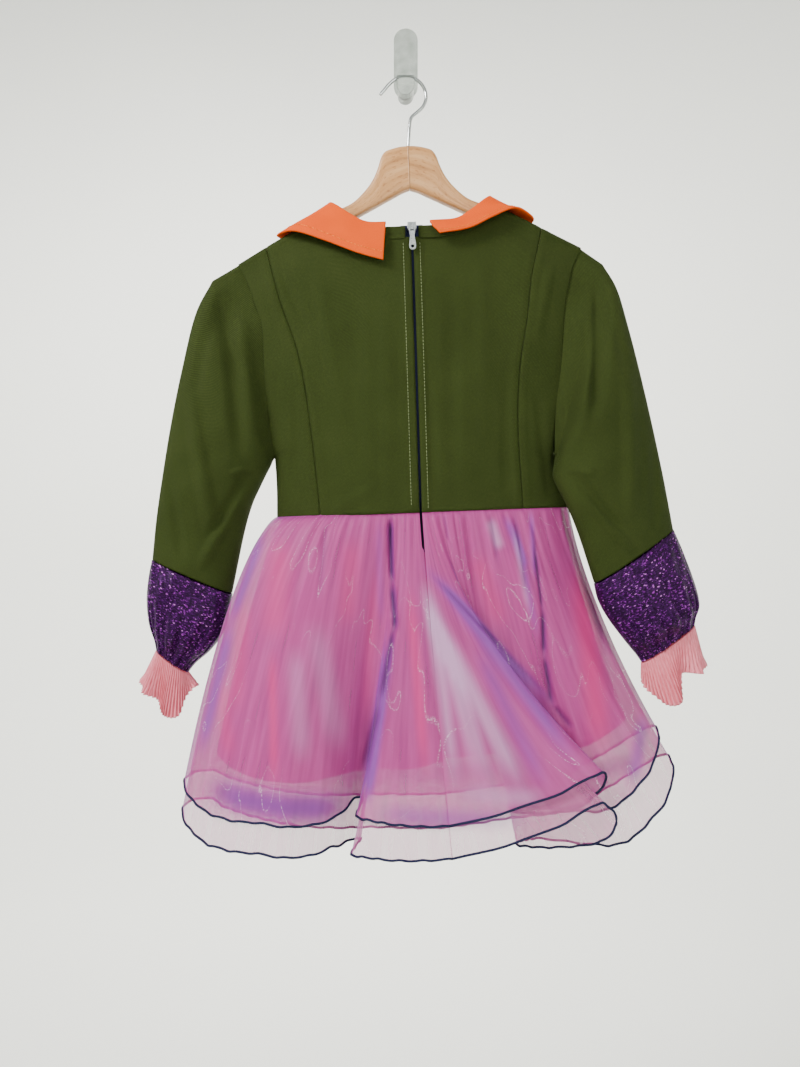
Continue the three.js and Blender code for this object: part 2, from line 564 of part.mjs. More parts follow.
// Under layer: the over layer's form pushed inwards along its own normal and cut longer. Under
// the flap's edge it is also pulled to the left, so that the two folds stay apart.
function underLayer(station, row) {
  const v = Math.min(row, 1);
  const drop = row > 1 ? 1 + underDropAt(station) : row;
  const h = 1.5;
  const a = overPoint(Math.max(0, station - h), Math.max(0.02, drop));
  const b = overPoint(Math.min(FULL_RUN, station + h), Math.max(0.02, drop));
  const c = overPoint(station, drop + 0.02);
  const p = overPoint(station, drop);
  const du = new THREE.Vector3(b[0] - a[0], b[1] - a[1], b[2] - a[2]);
  const dv = new THREE.Vector3(c[0] - p[0], c[1] - p[1], c[2] - p[2]);
  const n = du.cross(dv).normalize();
  const flap = bump((station - 566) / 34);
  const inset = mix(2, CLOTH_UNDER, smooth((v - 0.55 * flap) / 0.3));
  const pull = 24 * bump((station - 582) / 11) * smooth((v - 0.12) / 0.5);
  return [p[0] - n.x * inset - pull, p[1] - n.y * inset, p[2] - n.z * inset];
}
const layerStations = overHem.flatMap((row, i) => {
  const next = overHem[i + 1];
  if (!next) return [row[0]];
  const parts = row[0] > 540 && row[0] < 575 ? 4 : 2;
  return steps(parts, row[0], next[0]).slice(0, -1);
});
const overGrid = grid(layerStations, [0, 0.1, 0.26, 0.48, 0.74, 1], overLayer);
const underGrid = grid(layerStations, [0, 0.1, 0.26, 0.48, 0.74, 1, 2], underLayer);
addMesh('organza_over', clothWall(overGrid, SHEER), 'organza');
addMesh('organza_under', clothWall(underGrid, SHEER), 'organza');

// Satin lining, shorter and plainer, open below the zip so that its two edges spread apart.
const liningHem = [
  [0, 10, -60, -694, 1.2], [14, -24, -66, -699, 1.2], [34, -60, -51, -701, 1.1],
  [50, -94, -62, -703, 1.0], [70, -128, -82, -703, 0.85], [92, -166, -79, -699, 0.75],
  [114, -198, -62, -691, 0.68], [132, -215, -42, -681, 0.65], [150, -208, -28, -676, 0.7],
  [200, -150, -20.5, -692, 0.9], [296, 0, -20.5, -702, 0.9], [392, 130, -20.5, -690, 1.0],
  [436, 186, -24, -668, 1.2], [452, 196, -34, -662, 1.35], [472, 184, -48, -670, 1.35],
  [500, 150, -55, -686, 1.2], [532, 112, -50, -694, 1.1], [564, 96, -50, -694, 1.1],
  [592, 82, -51, -692, 1.2],
];
const liningAt = [1, 2, 3, 4].map((c) => through(liningHem, c));
function lining(station, v) {
  const [hx, hy, hz, flare] = liningAt.map((f) => f(station));
  const [wx, wy] = waistPoint(station, 7);
  const run = v ** flare;
  return [mix(wx, hx, run), mix(wy, hy, run), mix(WAIST_Z - 1.2, hz, v)];
}
const liningStations = steps(15, 0, BACK_RUN).concat(
  steps(28, BACK_RUN, 3 * BACK_RUN).slice(1),
  steps(15, 3 * BACK_RUN, FULL_RUN).slice(1),
);
const liningGrid = grid(liningStations, [0, 0.12, 0.35, 0.68, 1], lining);
addMesh('skirt_lining', clothWall(liningGrid, SHEER), 'pink_satin');

// Zip: tape with the closed coil standing in the gap between the back panels.
const tapeY = (z) => backY(0, z) + 1.9 + 8.6 * smooth((WAIST_Z + 14 - z) / 13);
const tapeRows = steps(16, -163, ZIP_END_Z - 6);
const tapeHalf = 11;
const coilHalf = 0.8;
// A strip of the given half width along the zip, between two depths behind the tape's middle.
const zipStrip = (half, far, near) => loft(tapeRows.slice().reverse().map((z) => {
  const x = zipX(z);
  const y = tapeY(z);
  return [[x - half, y + far, z], [x + half, y + far, z], [x + half, y + near, z], [x - half, y + near, z]];
}));

// Closed solid of a geometry: corners that share a place are made one.
const solidOf = (geometry) => {
  const { position } = geometry.attributes;
  const keys = new Map();
  const points = [];
  const remap = [];
  for (let i = 0; i < position.count; i += 1) {
    const p = [position.getX(i), position.getY(i), position.getZ(i)];
    const key = p.map((q) => q.toFixed(3)).join(',');
    if (!keys.has(key)) {
      keys.set(key, points.length / 3);
      points.push(...p);
    }
    remap.push(keys.get(key));
  }
  const index = geometry.index ? Array.from(geometry.index.array) : remap.map((_, i) => i);
  const triVerts = Uint32Array.from(index.map((i) => remap[i]));
  const vertProperties = Float32Array.from(points);
  return new wasm.Manifold(new wasm.Mesh({ numProp: 3, vertProperties, triVerts }));
};
function geometryOf(solid) {
  const mesh = solid.getMesh();
  const geometry = new THREE.BufferGeometry();
  geometry.setAttribute('position', new THREE.BufferAttribute(new Float32Array(mesh.vertProperties), 3));
  geometry.setIndex(Array.from(mesh.triVerts));
  return geometry;
}
const tape = solidOf(zipStrip(tapeHalf, -0.5, 0.5)).add(solidOf(zipStrip(coilHalf, -1.7, 0)));
addMesh('zip_tape', geometryOf(tape), 'zip_tape');

// Flat plate with its outline in x and z, from yFar (towards the viewer) back to yNear.
function plate(outline, yFar, yNear, holes = []) {
  const flat = (points) => points.map(([x, z]) => new THREE.Vector2(x, z));
  const shape = new THREE.Shape(flat(outline));
  holes.forEach((hole) => shape.holes.push(new THREE.Path(flat(hole))));
  const geometry = new THREE.ExtrudeGeometry(shape, { depth: yNear - yFar, bevelEnabled: false });
  geometry.rotateX(Math.PI / 2);
  geometry.translate(0, yNear, 0);
  return solidOf(geometry);
}
const arc = (cx, cz, r, from, to, n) => (
  steps(n, from, to).map((a) => [cx + r * Math.cos(a), cz + r * Math.sin(a)])
);
// Outline of a rectangle from its lower left to its upper right corner.
const box = (x0, z0, x1, z1) => [[x0, z1], [x0, z0], [x1, z0], [x1, z1]];

// Slider body with its bridge, and the pull tab that hangs from the bridge.
const SLIDER_Z = -167;
const SLIDER_Y = -48.6;
const sliderOutline = [
  [-4.2, -162.5], [-4.6, -168], [-2.2, -172.5], [2.2, -172.5], [4.6, -168], [4.2, -162.5],
];
const sliderBody = plate(sliderOutline, SLIDER_Y - 1.2, SLIDER_Y + 4.6);
const bridge = plate(box(-1.5, -171, 1.5, -164), SLIDER_Y - 4.6, SLIDER_Y - 1);
const underBridge = plate(box(-1.6, -169.6, 1.6, -165.6), SLIDER_Y - 3.4, SLIDER_Y - 1.1);
addMesh('zip_slider', geometryOf(sliderBody.add(bridge.subtract(underBridge))), 'zip_metal');

const TAB_Z = SLIDER_Z - 0.6;
const tabY = SLIDER_Y - 2.3;
const tab = plate(
  [[-3.1, TAB_Z + 1.2], [3.1, TAB_Z + 1.2], [3.1, TAB_Z - 3], [2.2, TAB_Z - 9], [3.3, TAB_Z - 17],
    ...arc(0, TAB_Z - 19.6, 3.3, 0, -Math.PI, 8), [-3.3, TAB_Z - 17], [-2.2, TAB_Z - 9], [-3.1, TAB_Z - 3]],
  tabY - 0.6, tabY + 0.6,
  [box(-1.9, TAB_Z - 4.2, 1.9, TAB_Z + 0.3),
    arc(0, TAB_Z - 19.4, 1.7, 0, 2 * Math.PI, 12).slice(0, -1)],
);
addMesh('zip_pull_tab', geometryOf(tab), 'zip_metal');

// Wooden hanger: two arms jointed at the crown. Columns |x|, top z, underside z, half thickness.
const armProfile = [
  [0.15, -78.4, -121.8, 7], [8, -78.8, -124.5, 7], [17, -80.6, -129, 7], [24, -83.4, -132.4, 7],
  [28, -89, -134.2, 7], [31, -98, -135.8, 6.8], [36, -109, -138.2, 6.6], [44, -120, -142, 6.4],
  [58, -132.5, -148.6, HANGER_HALF], [76, -139.5, -157, 5.5], [90, -143.8, -163, 5.4],
  [115, -155.9, -174, HANGER_HALF], [135, -166.1, -182.5, HANGER_HALF], [150, -173.8, -189, 5.4],
  [157, -178.5, -190.5, 4.2], [160, -182.5, -189.5, 2.4],
];
function hangerArm(side) {
  const s = signOf[side];
  const corner = 0.42;
  const sections = armProfile.map(([x, top, low, half]) => {
    const y = hangerY(x);
    const rise = Math.min(3, (top - low) / 4);
    return [
      [s * x, y - half * corner, top], [s * x, y + half * corner, top], [s * x, y + half, top - rise],
      [s * x, y + half, low + rise], [s * x, y + half * corner, low], [s * x, y - half * corner, low],
      [s * x, y - half, low + rise], [s * x, y - half, top - rise],
    ];
  });
  return loft(s < 0 ? sections : sections.slice().reverse());
}
addMesh('hanger_arm_left', hangerArm('left'), 'beech');
addMesh('hanger_arm_right', hangerArm('right'), 'beech');

// Wire hook, upright in the world's own frame: columns x, y, z of its centre line.
const WIRE = 1.7;
const wirePath = [
  [3.2, -27, -77.7], [3.9, -27, -68], [4.6, -26, -57], [6.4, -25, -47.5], [12.5, -23.5, -41],
  [18.5, -22.2, -34.5], [21.6, -21.3, -25.5], [20, -21, -16], [13.5, -21, -7.6], [2.5, -21, -3.4],
  [-8, -21, -5.2], [-16, -21, -11], [-21.5, -21, -17.5], [-25.9, -21, -22.6],
];
const wireCurve = new THREE.CatmullRomCurve3(wirePath.map((p) => new THREE.Vector3(...p)));
const wireRound = arc(0, 0, WIRE, 0, 2 * Math.PI, 8).slice(0, -1);
const wireShape = new THREE.Shape(wireRound.map(([a, b]) => new THREE.Vector2(a, b)));
const wire = new THREE.ExtrudeGeometry(wireShape, { steps: 34, extrudePath: wireCurve });
addMesh('hanger_hook_wire', geometryOf(solidOf(wire)), 'chrome_wire', false);

// Clear wall hook: back plate flat on the wall, a cup under the wire and a low lip in front of it.
const PLATE_X = 1;
const backPlate = plate(
  arc(PLATE_X, 45, 12.5, 0, Math.PI, 12).concat(arc(PLATE_X, -3.2, 12.5, Math.PI, 2 * Math.PI, 12)),
  -2.2, 0,
);
const tongue = (top) => [[9.6, top], [9.6, -14]]
  .concat(arc(0.6, -14.5, 9, 0, -Math.PI, 10).slice(1, -1), [[-8.4, -14], [-8.4, top]]);
const cupTop = arc(1, -25.4, 19.9, Math.PI * 0.36, Math.PI * 0.64, 8);
const cupFoot = arc(0.6, -14.5, 8.1, Math.PI, 2 * Math.PI, 10).slice(1, -1);
const cupOutline = cupTop.concat([[-7.5, -14]], cupFoot, [[9.4, -14]]);
const wallHook = backPlate.add(plate(cupOutline, -24.8, -2)).add(plate(tongue(-3.6), -24.8, -23.1));
addMesh('wall_hook', geometryOf(wallHook), 'clear_plastic', false);

export default group;
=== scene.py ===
"""Hatter costume: a child's zipped dress, seen from its back, on a wooden hanger and a clear wall hook.

The dress and its hanger are drawn upright in millimetres, in their own frame, and are then leaned
by TILT_DEG about the line of sight and turned to metres. -Y is towards the viewer, +Z is up.
"""

import math

import bpy
import numpy as np
from bpy.props import FloatProperty, IntProperty, PointerProperty, StringProperty
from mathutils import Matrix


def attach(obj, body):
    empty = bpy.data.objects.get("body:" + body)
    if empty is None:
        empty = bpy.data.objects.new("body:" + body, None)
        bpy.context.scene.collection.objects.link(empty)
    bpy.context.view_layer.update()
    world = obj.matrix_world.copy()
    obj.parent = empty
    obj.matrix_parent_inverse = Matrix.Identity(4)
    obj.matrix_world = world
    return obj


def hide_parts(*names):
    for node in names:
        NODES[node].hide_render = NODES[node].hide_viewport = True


bl_info = {
    "name": "Hatter costume dress",
    "version": (1, 0, 0),
    "blender": (4, 5, 0),
    "location": "View3D > Sidebar > Costume",
    "description": "Cloth, stitching and finishes of a child's costume dress on a hanger",
    "category": "Object",
}

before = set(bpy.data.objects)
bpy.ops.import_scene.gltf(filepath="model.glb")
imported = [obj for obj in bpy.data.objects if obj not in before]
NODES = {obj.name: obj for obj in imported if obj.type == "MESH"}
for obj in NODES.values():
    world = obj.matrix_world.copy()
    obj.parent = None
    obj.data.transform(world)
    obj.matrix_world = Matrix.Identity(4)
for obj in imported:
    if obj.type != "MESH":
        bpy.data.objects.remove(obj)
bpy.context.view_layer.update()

# Sizes in millimetres, shared with the solids. The lean of the dress, about the line of sight
TILT_DEG = 2.3
SIDES = ("left", "right")
SIGN = {"left": -1, "right": 1}
# The waist seam: its height, half its width, and its run across one half of the back and all round
WAIST_Z = -450.0
WAIST_HALF = 148.0
BACK_RUN = WAIST_HALF
FULL_RUN = 4 * WAIST_HALF
# The neck's side point, and how much the shoulder falls for each millimetre outwards
NECK_SIDE_X = 90.0
NECK_SIDE_Z = -141.5
SHOULDER_SLOPE = 0.51
# The cloth's bend over the hanger's arm, the front's depth by the wall, and the seams' width
ROLL = 7.8
FRONT_Y = -6.5
SEAM = 0.4
# The hanger's middle: its depth at the hook, and how far it comes back to the wall at its ends
HANGER_Y = -27.0
HANGER_SWEEP = 13.0
HANGER_HALF = 175.0
# The zip: its half gap and its ends, how far it drifts left down the back and swerves below the
# waist, half its tape's width and its coil's turns
ZIP_GAP = 1.3
ZIP_TOP_Z = -164.0
ZIP_END_Z = -484.0
ZIP_DRIFT = 2.6
ZIP_SWERVE = 3.8
TAPE_HALF = 11.0
COIL_TURNS = 250
# The placket beside the zip, and the topstitching's distance from the zip
PLACKET_WIDTH = 8.5
PLACKET_RISE = 0.7
STITCH_FROM_ZIP = {"left": 9.0, "right": 7.6}
# The cloth under the right sleeve: the height of its hump and how far it stands out
GUSSET_Z = -404.0
GUSSET_OUT = 4.5
# How far the right side seam turns to the viewer, and the armhole widens the side's rounding
SIDE_TURN = 9.0
ARMHOLE_ROUND = 28.0
# How far the sleeve's seam starts inside the body's edge and under its cloth, and how far the
# right armpit is pulled forward
ARMHOLE_GAP = 1.5
ARMHOLE_UNDER = 1.3
ARMPIT_FORWARD = 12.0
# The tuck in the sleeve's head: its depth, its angle round the sleeve and its ring
TUCK_DEPTH = 7.0
TUCK_ANGLE = 0.95
TUCK_RING = 0.9
SKIRT_GATHERS = 24

# What scene.py adds to the solids' form: soft unevenness of the hung cloth, and how much the
# creases of the tables are deepened
BACK_RIPPLE = {"seed": 11, "size": 75, "height": 0.45}
SLEEVE_RIPPLE = {"seed": 23, "size": 60, "height": 0.9}
BACK_CREASING = 1.5
SLEEVE_CREASING = 2.1
# Middles that the loops of cloth go round, and the part of a direction that lies level
NECK_MIDDLE = np.array([0, -25, -160.0])
SKIRT_MIDDLE = np.array([0, -40, -600.0])
LEVEL = np.array([1, 1, 0])
# The camera's place in metres and its lens, which give the photograph's view
VIEW_ANGLE_DEG = 65.0
SENSOR_MM = 36.0
CAMERA_PLACE = (-0.005, -0.8775, -0.4705)


# Plain maths helpers
def mix(a, b, t):
    """The value a share t of the way from a to b."""
    return a + (b - a) * t


def smooth(t):
    """Eased step: 3t squared less 2t cubed, held at 0 and 1 outside the step."""
    c = np.clip(t, 0, 1)
    return c * c * (3 - 2 * c)


def bump(t):
    """Round hump of height 1 at t = 0 that falls to 0 at t = -1 and 1: a squared cosine."""
    return np.where(np.abs(t) >= 1, 0, np.cos(np.pi / 2 * np.clip(t, -1, 1)) ** 2)


def quarter(t):
    """A quarter of a circle, rising steeply from 0 and levelling off at 1."""
    return np.sqrt(np.maximum(0, 1 - (1 - np.clip(t, 0, 1)) ** 2))


def through(rows, column):
    """A smooth function through the rows of a table: cubic spans whose slope at each row is that
    of the line between its two neighbours. Column 0 is the key."""
    table = np.array(rows, float)
    keys, values = table[:, 0], table[:, column]
    last = len(keys) - 1
    index = np.arange(len(keys))
    low, high = np.maximum(index - 1, 0), np.minimum(index + 1, last)
    slope = (values[high] - values[low]) / (keys[high] - keys[low])

    def at(key):
        k = np.clip(np.asarray(key, float), keys[0], keys[-1])
        i = np.clip(np.searchsorted(keys, k) - 1, 0, last - 1)
        h = keys[i + 1] - keys[i]
        t = (k - keys[i]) / h
        rise = values[i] * (1 + 2 * t) * (1 - t) ** 2 + slope[i] * h * t * (1 - t) ** 2
        return rise + values[i + 1] * t * t * (3 - 2 * t) + slope[i + 1] * h * t * t * (t - 1)

    return at


def unit(v):
    """Vectors of length 1 in the same directions."""
    return v / np.maximum(np.linalg.norm(v, axis=-1, keepdims=True), 1e-9)


def stack(x, y, z):
    """One array of points from three arrays that broadcast together."""
    return np.stack(np.broadcast_arrays(x, y, z), axis=-1)


def leaned(points):
    """Millimetres in the dress's own frame to metres in the part's: turned by TILT_DEG about Y."""
    a = math.radians(TILT_DEG)
    x, y, z = points[..., 0], points[..., 1], points[..., 2]
    return stack(x * math.cos(a) - z * math.sin(a), y, x * math.sin(a) + z * math.cos(a)) / 1000


# The bodice's outline. Columns: depth (-z), |x|
EDGE = {
    "left": through(
        [(187, 179), (211, 168), (236, 160), (252, 155), (307, 154), (364, 151), (386, 148), (418, 147),
         (450, 148)], 1),
    "right": through(
        [(184, 174), (208, 162), (236, 154), (262, 150), (310, 145), (360, 137), (397, 133), (409, 133.5),
         (428, 139), (450, 148)], 1),
}
PRINCESS = {
    "left": through([(160, 151), (171, 149), (232, 134.7), (287, 118), (355, 109), (450, 102)], 1),
    "right": through(
        [(155, 134), (169, 132), (215, 119), (261, 111.6), (307, 102.5), (364, 98), (450, 100)], 1),
}
SEAM_TOP = {"left": float(PRINCESS["left"](171)), "right": float(PRINCESS["right"](164))}
PIT = {"left": 386.0, "right": 397.0}
TIP = {"left": 187.0, "right": 184.0}
# Necklines under the band. Columns: |x|, z
BACK_NECK = through([(0, -176), (25, -175.5), (48, -172), (66, -163), (80, -151), (90, -141.5)], 1)
FRONT_NECK = through([(0, -207), (25, -204.5), (48, -196), (66, -182), (80, -164), (90, -141.5)], 1)
# How far the back stands out from the hanger. Columns: depth (-z), mm
BACK_FALL = through([(140, 6), (180, 10), (230, 15), (300, 18), (380, 17), (450, 15)], 1)


def shoulder_z(x):
    """Height of the shoulder line: level with the neck's side point, then falling outwards."""
    return NECK_SIDE_Z - SHOULDER_SLOPE * (np.abs(x) - NECK_SIDE_X)


def hanger_y(x):
    """Depth of the hanger's middle: it curves back to the wall towards its ends."""
    return HANGER_Y + HANGER_SWEEP * (np.abs(x) / HANGER_HALF) ** 1.6


def zip_x(z):
    """The zip's line: nearly plumb, with a small drift to the left below the waist."""
    drift = ZIP_DRIFT * np.clip((ZIP_TOP_Z - z) / 288, 0, 1)
    return -drift - ZIP_SWERVE * smooth((WAIST_Z - z) / 34)


def side_share(x, z, power):
    """Share of the body's full depth left at x: 1 across the back, rounded to 0 at the side by a
    superellipse of the given power. It reaches further out along the armhole."""
    left = x < 0
    tip = np.where(left, TIP["left"], TIP["right"])
    pit = np.where(left, PIT["left"], PIT["right"])
    t = np.clip((-z - tip) / (pit - tip), 0, 1)
    edge = np.where(left, EDGE["left"](-z), EDGE["right"](-z))
    reach = np.abs(x) / (edge + ARMHOLE_ROUND * np.sqrt(t * (1 - t)))
    return np.sqrt(np.maximum(0, 1 - reach**power))


def side_turn(x, z):
    """The right side seam is turned a little towards the viewer, under the sleeve."""
    near = bump((z + PIT["right"]) / 110) * (np.maximum(x, 0) / 150) ** 6
    return np.where(x <= 0, 0, -SIDE_TURN * near)


def back_y(x, z):
    """Depth of the back cloth: it rolls over the hanger's arm and falls clear below it."""
    drop = np.maximum(0, shoulder_z(x) - z)
    fall = BACK_FALL(-z) * side_share(x, z, 4) * smooth((drop - 2) / 50)
    return hanger_y(x) - ROLL * quarter(drop / ROLL) - fall + side_turn(x, z)


def front_y(x, z):
    """Depth of the front cloth: over the arm the other way and then flat to the wall."""
    drop = np.maximum(0, shoulder_z(x) - z)
    tip = np.where(x < 0, TIP["left"], TIP["right"])
    share = side_share(x, z, 7 + 16 * (1 - smooth((-z - tip + 14) / 60)))
    flat = FRONT_Y - (hanger_y(x) + ROLL)
    rolled = hanger_y(x) + ROLL * quarter(drop / ROLL) * (2 * share - 1)
    return rolled + share * flat * smooth(drop / 70) + side_turn(x, z)


def creases(x, z, rows):
    """Depth of listed creases. Each is a straight valley or ridge from one point to another with a round
    section, fading at both ends. Columns: x, z, x, z, height, half width."""
    total = np.zeros(np.broadcast(x, z).shape)
    for x0, z0, x1, z1, height, half in rows:
        dx, dz = x1 - x0, z1 - z0
        run = math.hypot(dx, dz)
        t = ((x - x0) * dx + (z - z0) * dz) / run**2
        off = ((x - x0) * dz - (z - z0) * dx) / run
        fade = smooth(t / 0.3 + 0.15) * smooth((1 - t) / 0.3 + 0.15)
        total = total + height * bump(off / half) * fade
    return total


def ripple(x, z, seed, size, height):
    """Soft unevenness of hung cloth: a few crossed waves of unlike length, `size` mm apart."""
    rng = np.random.default_rng(seed)
    total = np.zeros(np.broadcast(x, z).shape)
    for _ in range(7):
        angle, phase = rng.uniform(0, np.pi), rng.uniform(0, 2 * np.pi)
        length = size * rng.uniform(0.6, 1.7)
        along = x * math.cos(angle) + z * math.sin(angle)
        total = total + np.sin(2 * np.pi * along / length + phase)
    return height * total / 3


# Mesh helpers
def outwards(points, away):
    """Turns a grid's order so that its faces look along `away`, a direction or one for each point."""
    across = np.gradient(points, axis=0)
    down = np.gradient(points, axis=1)
    looks = np.sum(np.cross(across, down) * np.asarray(away, float))
    return points if looks > 0 else points[::-1]


def from_middle(points):
    """Directions from each ring's own middle, level with the ring, for closed tubes of cloth."""
    return points - points.mean(axis=0, keepdims=True)


def surface(name, points, material, closed=False, thick=0.0, straight=False):
    """Mesh of a grid of points. Its UV map holds the mean length along each way of the grid, in
    metres, so a weave keeps its real size. Solidify gives the cloth its thickness."""
    count_i, count_j = points.shape[:2]
    where = points / 1000 if straight else leaned(points)
    ids = np.arange(count_i * count_j).reshape(count_i, count_j)
    ring = np.concatenate([where, where[:1]]) if closed else where
    if closed:
        ids = np.concatenate([ids, ids[:1]])
    faces = np.stack([ids[:-1, :-1], ids[1:, :-1], ids[1:, 1:], ids[:-1, 1:]], -1).reshape(-1, 4)
    mesh = bpy.data.meshes.new(name)
    mesh.from_pydata(where.reshape(-1, 3), [], faces)
    step_u = np.linalg.norm(np.diff(ring, axis=0), axis=-1).mean(axis=1)
    step_v = np.linalg.norm(np.diff(ring, axis=1), axis=-1).mean(axis=0)
    u = np.concatenate([[0], np.cumsum(step_u)])
    v = np.concatenate([[0], np.cumsum(step_v)])
    i, j = np.meshgrid(np.arange(len(u) - 1), np.arange(len(v) - 1), indexing="ij")
    corners_u = np.stack([u[i], u[i + 1], u[i + 1], u[i]], -1)
    corners_v = np.stack([v[j], v[j], v[j + 1], v[j + 1]], -1)
    uv = mesh.uv_layers.new(name="cloth")
    uv.data.foreach_set("uv", np.stack([corners_u, corners_v], -1).astype(np.float32).ravel())
    mesh.materials.append(material)
    mesh.shade_smooth()
    piece = bpy.data.objects.new(name, mesh)
    bpy.context.scene.collection.objects.link(piece)
    if thick:
        wall = piece.modifiers.new("cloth_thickness", "SOLIDIFY")
        wall.thickness = thick / 1000
        wall.offset = 0
    return piece


def tube(name, path, radius, material, sides=8, up=(0, 0, 1), straight=False):
    """Round tube along a path, closed at its ends: a circle in the plane across the path at each
    of its points."""
    along = unit(np.gradient(path, axis=0))
    side = unit(np.cross(along, np.asarray(up, float)))
    other = np.cross(side, along)
    turn = np.linspace(0, 2 * np.pi, sides, endpoint=False)[:, None, None]
    size = np.asarray(radius, float)
    size = size[None, :, None] if size.ndim else size
    ring = path[None] + size * (np.cos(turn) * side[None] + np.sin(turn) * other[None])
    ring = outwards(ring, from_middle(ring))
    piece = surface(name, ring, material, closed=True, straight=straight)
    cap_ends(piece, sides, ring.shape[1])
    return piece


def cap_ends(piece, sides, rows):
    """Closes a tube's two ends with one flat face each."""
    mesh = piece.data
    old = [tuple(p.vertices) for p in mesh.polygons]
    uvs = np.zeros(len(mesh.loops) * 2, np.float32)
    mesh.uv_layers[0].data.foreach_get("uv", uvs)
    points = np.zeros(len(mesh.vertices) * 3)
    mesh.vertices.foreach_get("co", points)
    first = [i * rows for i in range(sides)]
    last = [i * rows + rows - 1 for i in reversed(range(sides))]
    material = mesh.materials[0]
    fresh = bpy.data.meshes.new(mesh.name + "_closed")
    fresh.from_pydata(points.reshape(-1, 3), [], old + [tuple(first), tuple(last)])
    layer = fresh.uv_layers.new(name="cloth")
    layer.data.foreach_set("uv", np.concatenate([uvs, np.zeros(4 * sides, np.float32)]))
    fresh.materials.append(material)
    fresh.shade_smooth()
    piece.data = fresh
    bpy.data.meshes.remove(mesh)


def stitches(name, path, normal, material):
    """A row of stitches along a path on the cloth: each a short thread that rises out of the
    cloth and sinks back into it. `path` and `normal` are arrays of points and of directions."""
    length, gap, radius = sizes().stitch, sizes().stitch_gap, sizes().thread
    run = np.concatenate([[0], np.cumsum(np.linalg.norm(np.diff(path, axis=0), axis=-1))])
    starts = np.arange(gap, run[-1] - length, length + gap)
    share = np.array([0, 0.12, 0.5, 0.88, 1])
    rise = np.array([-0.6, 0.55, 0.8, 0.55, -0.6]) * radius
    size = np.array([0.3, 0.9, 1, 0.9, 0.3]) * radius
    at = starts[:, None] + length * share[None]
    centre = np.stack([np.interp(at, run, path[:, c]) for c in range(3)], -1)
    out = unit(np.stack([np.interp(at, run, normal[:, c]) for c in range(3)], -1))
    centre = centre + out * rise[None, :, None]
    along = unit(centre[:, -1:] - centre[:, :1])
    side = np.cross(along, out)
    turn = np.linspace(0, 2 * np.pi, 6, endpoint=False)
    ring = (np.cos(turn)[None, None, :, None] * side[:, :, None]
            + np.sin(turn)[None, None, :, None] * out[:, :, None])
    points = centre[:, :, None] + ring * size[None, :, None, None]
    count = len(starts)
    one = np.arange(30).reshape(5, 6)
    after = np.roll(one, -1, axis=1)
    quads = np.stack([one[:-1], one[1:], after[1:], after[:-1]], -1).reshape(-1, 4)
    faces = (np.arange(count)[:, None, None] * 30 + quads[None]).reshape(-1, 4)
    mesh = bpy.data.meshes.new(name)
    mesh.from_pydata(leaned(points.reshape(-1, 3)), [], faces)
    mesh.materials.append(material)
    mesh.shade_smooth()
    piece = bpy.data.objects.new(name, mesh)
    bpy.context.scene.collection.objects.link(piece)
    return piece


def carried(piece, body="costume", node=None):
    """The piece rides on its body; a solid that it stands for is hidden."""
    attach(piece, body)
    if node:
        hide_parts(node)
    return piece


# Material helpers
# A Mix node's sockets for colours, by their index, and its setting that multiplies
SHARE, FIRST, SECOND, MIXED = 0, 6, 7, 2
MULTIPLY = {"data_type": "RGBA", "blend_type": "MULTIPLY"}


def linear(colour):
    """sRGB hex, such as "#4d5a2c", to the linear colour that the shader takes."""
    parts = [int(colour[i : i + 2], 16) / 255 for i in (1, 3, 5)]
    return [c / 12.92 if c <= 0.04045 else ((c + 0.055) / 1.055) ** 2.4 for c in parts] + [1.0]


def set_inputs(node, values):
    """Links each input of a shader node to the output given for it, or sets it to the value."""
    for key, value in values.items():
        if isinstance(value, bpy.types.NodeSocket):
            node.id_data.links.new(value, node.inputs[key])
        else:
            node.inputs[key].default_value = value


def add_node(tree, kind, values=None, out=0, stops=None, **settings):
    """Adds a shader node with its settings and inputs and, on a colour ramp, its stops: each a
    position and a hex colour. Gives the node's output `out`."""
    node = tree.nodes.new(kind)
    for key, value in settings.items():
        setattr(node, key, value)
    set_inputs(node, values or {})
    if stops:
        elements = node.color_ramp.elements
        while len(elements) < len(stops):
            elements.new(1)
        for element, (position, colour) in zip(elements, stops):
            element.position = position
            element.color = linear(colour)
    return node.outputs[out]


def start_material(name, roughness, metallic=0.0, gloss=0.12, **values):
    """An empty material with its shader, whose all-over values are set on the shader's sockets."""
    material = bpy.data.materials.new(name)
    material.use_nodes = True
    tree = material.node_tree
    shader = tree.nodes["Principled BSDF"]
    set_inputs(shader, {"Roughness": roughness, "Metallic": metallic, "Specular IOR Level": gloss})
    set_inputs(shader, {key.replace("_", " "): value for key, value in values.items()})
    return material, tree, shader


def per_mm(size):
    """Texture scale for a pattern that repeats every `size` mm on coordinates in metres."""
    return 1000 / size


def bands_per_mm(size):
    """Wave texture scale for bands that repeat every `size` mm. At a scale of 1 the texture
    repeats each 1 / pi of a metre, nearly."""
    return per_mm(size) / math.pi


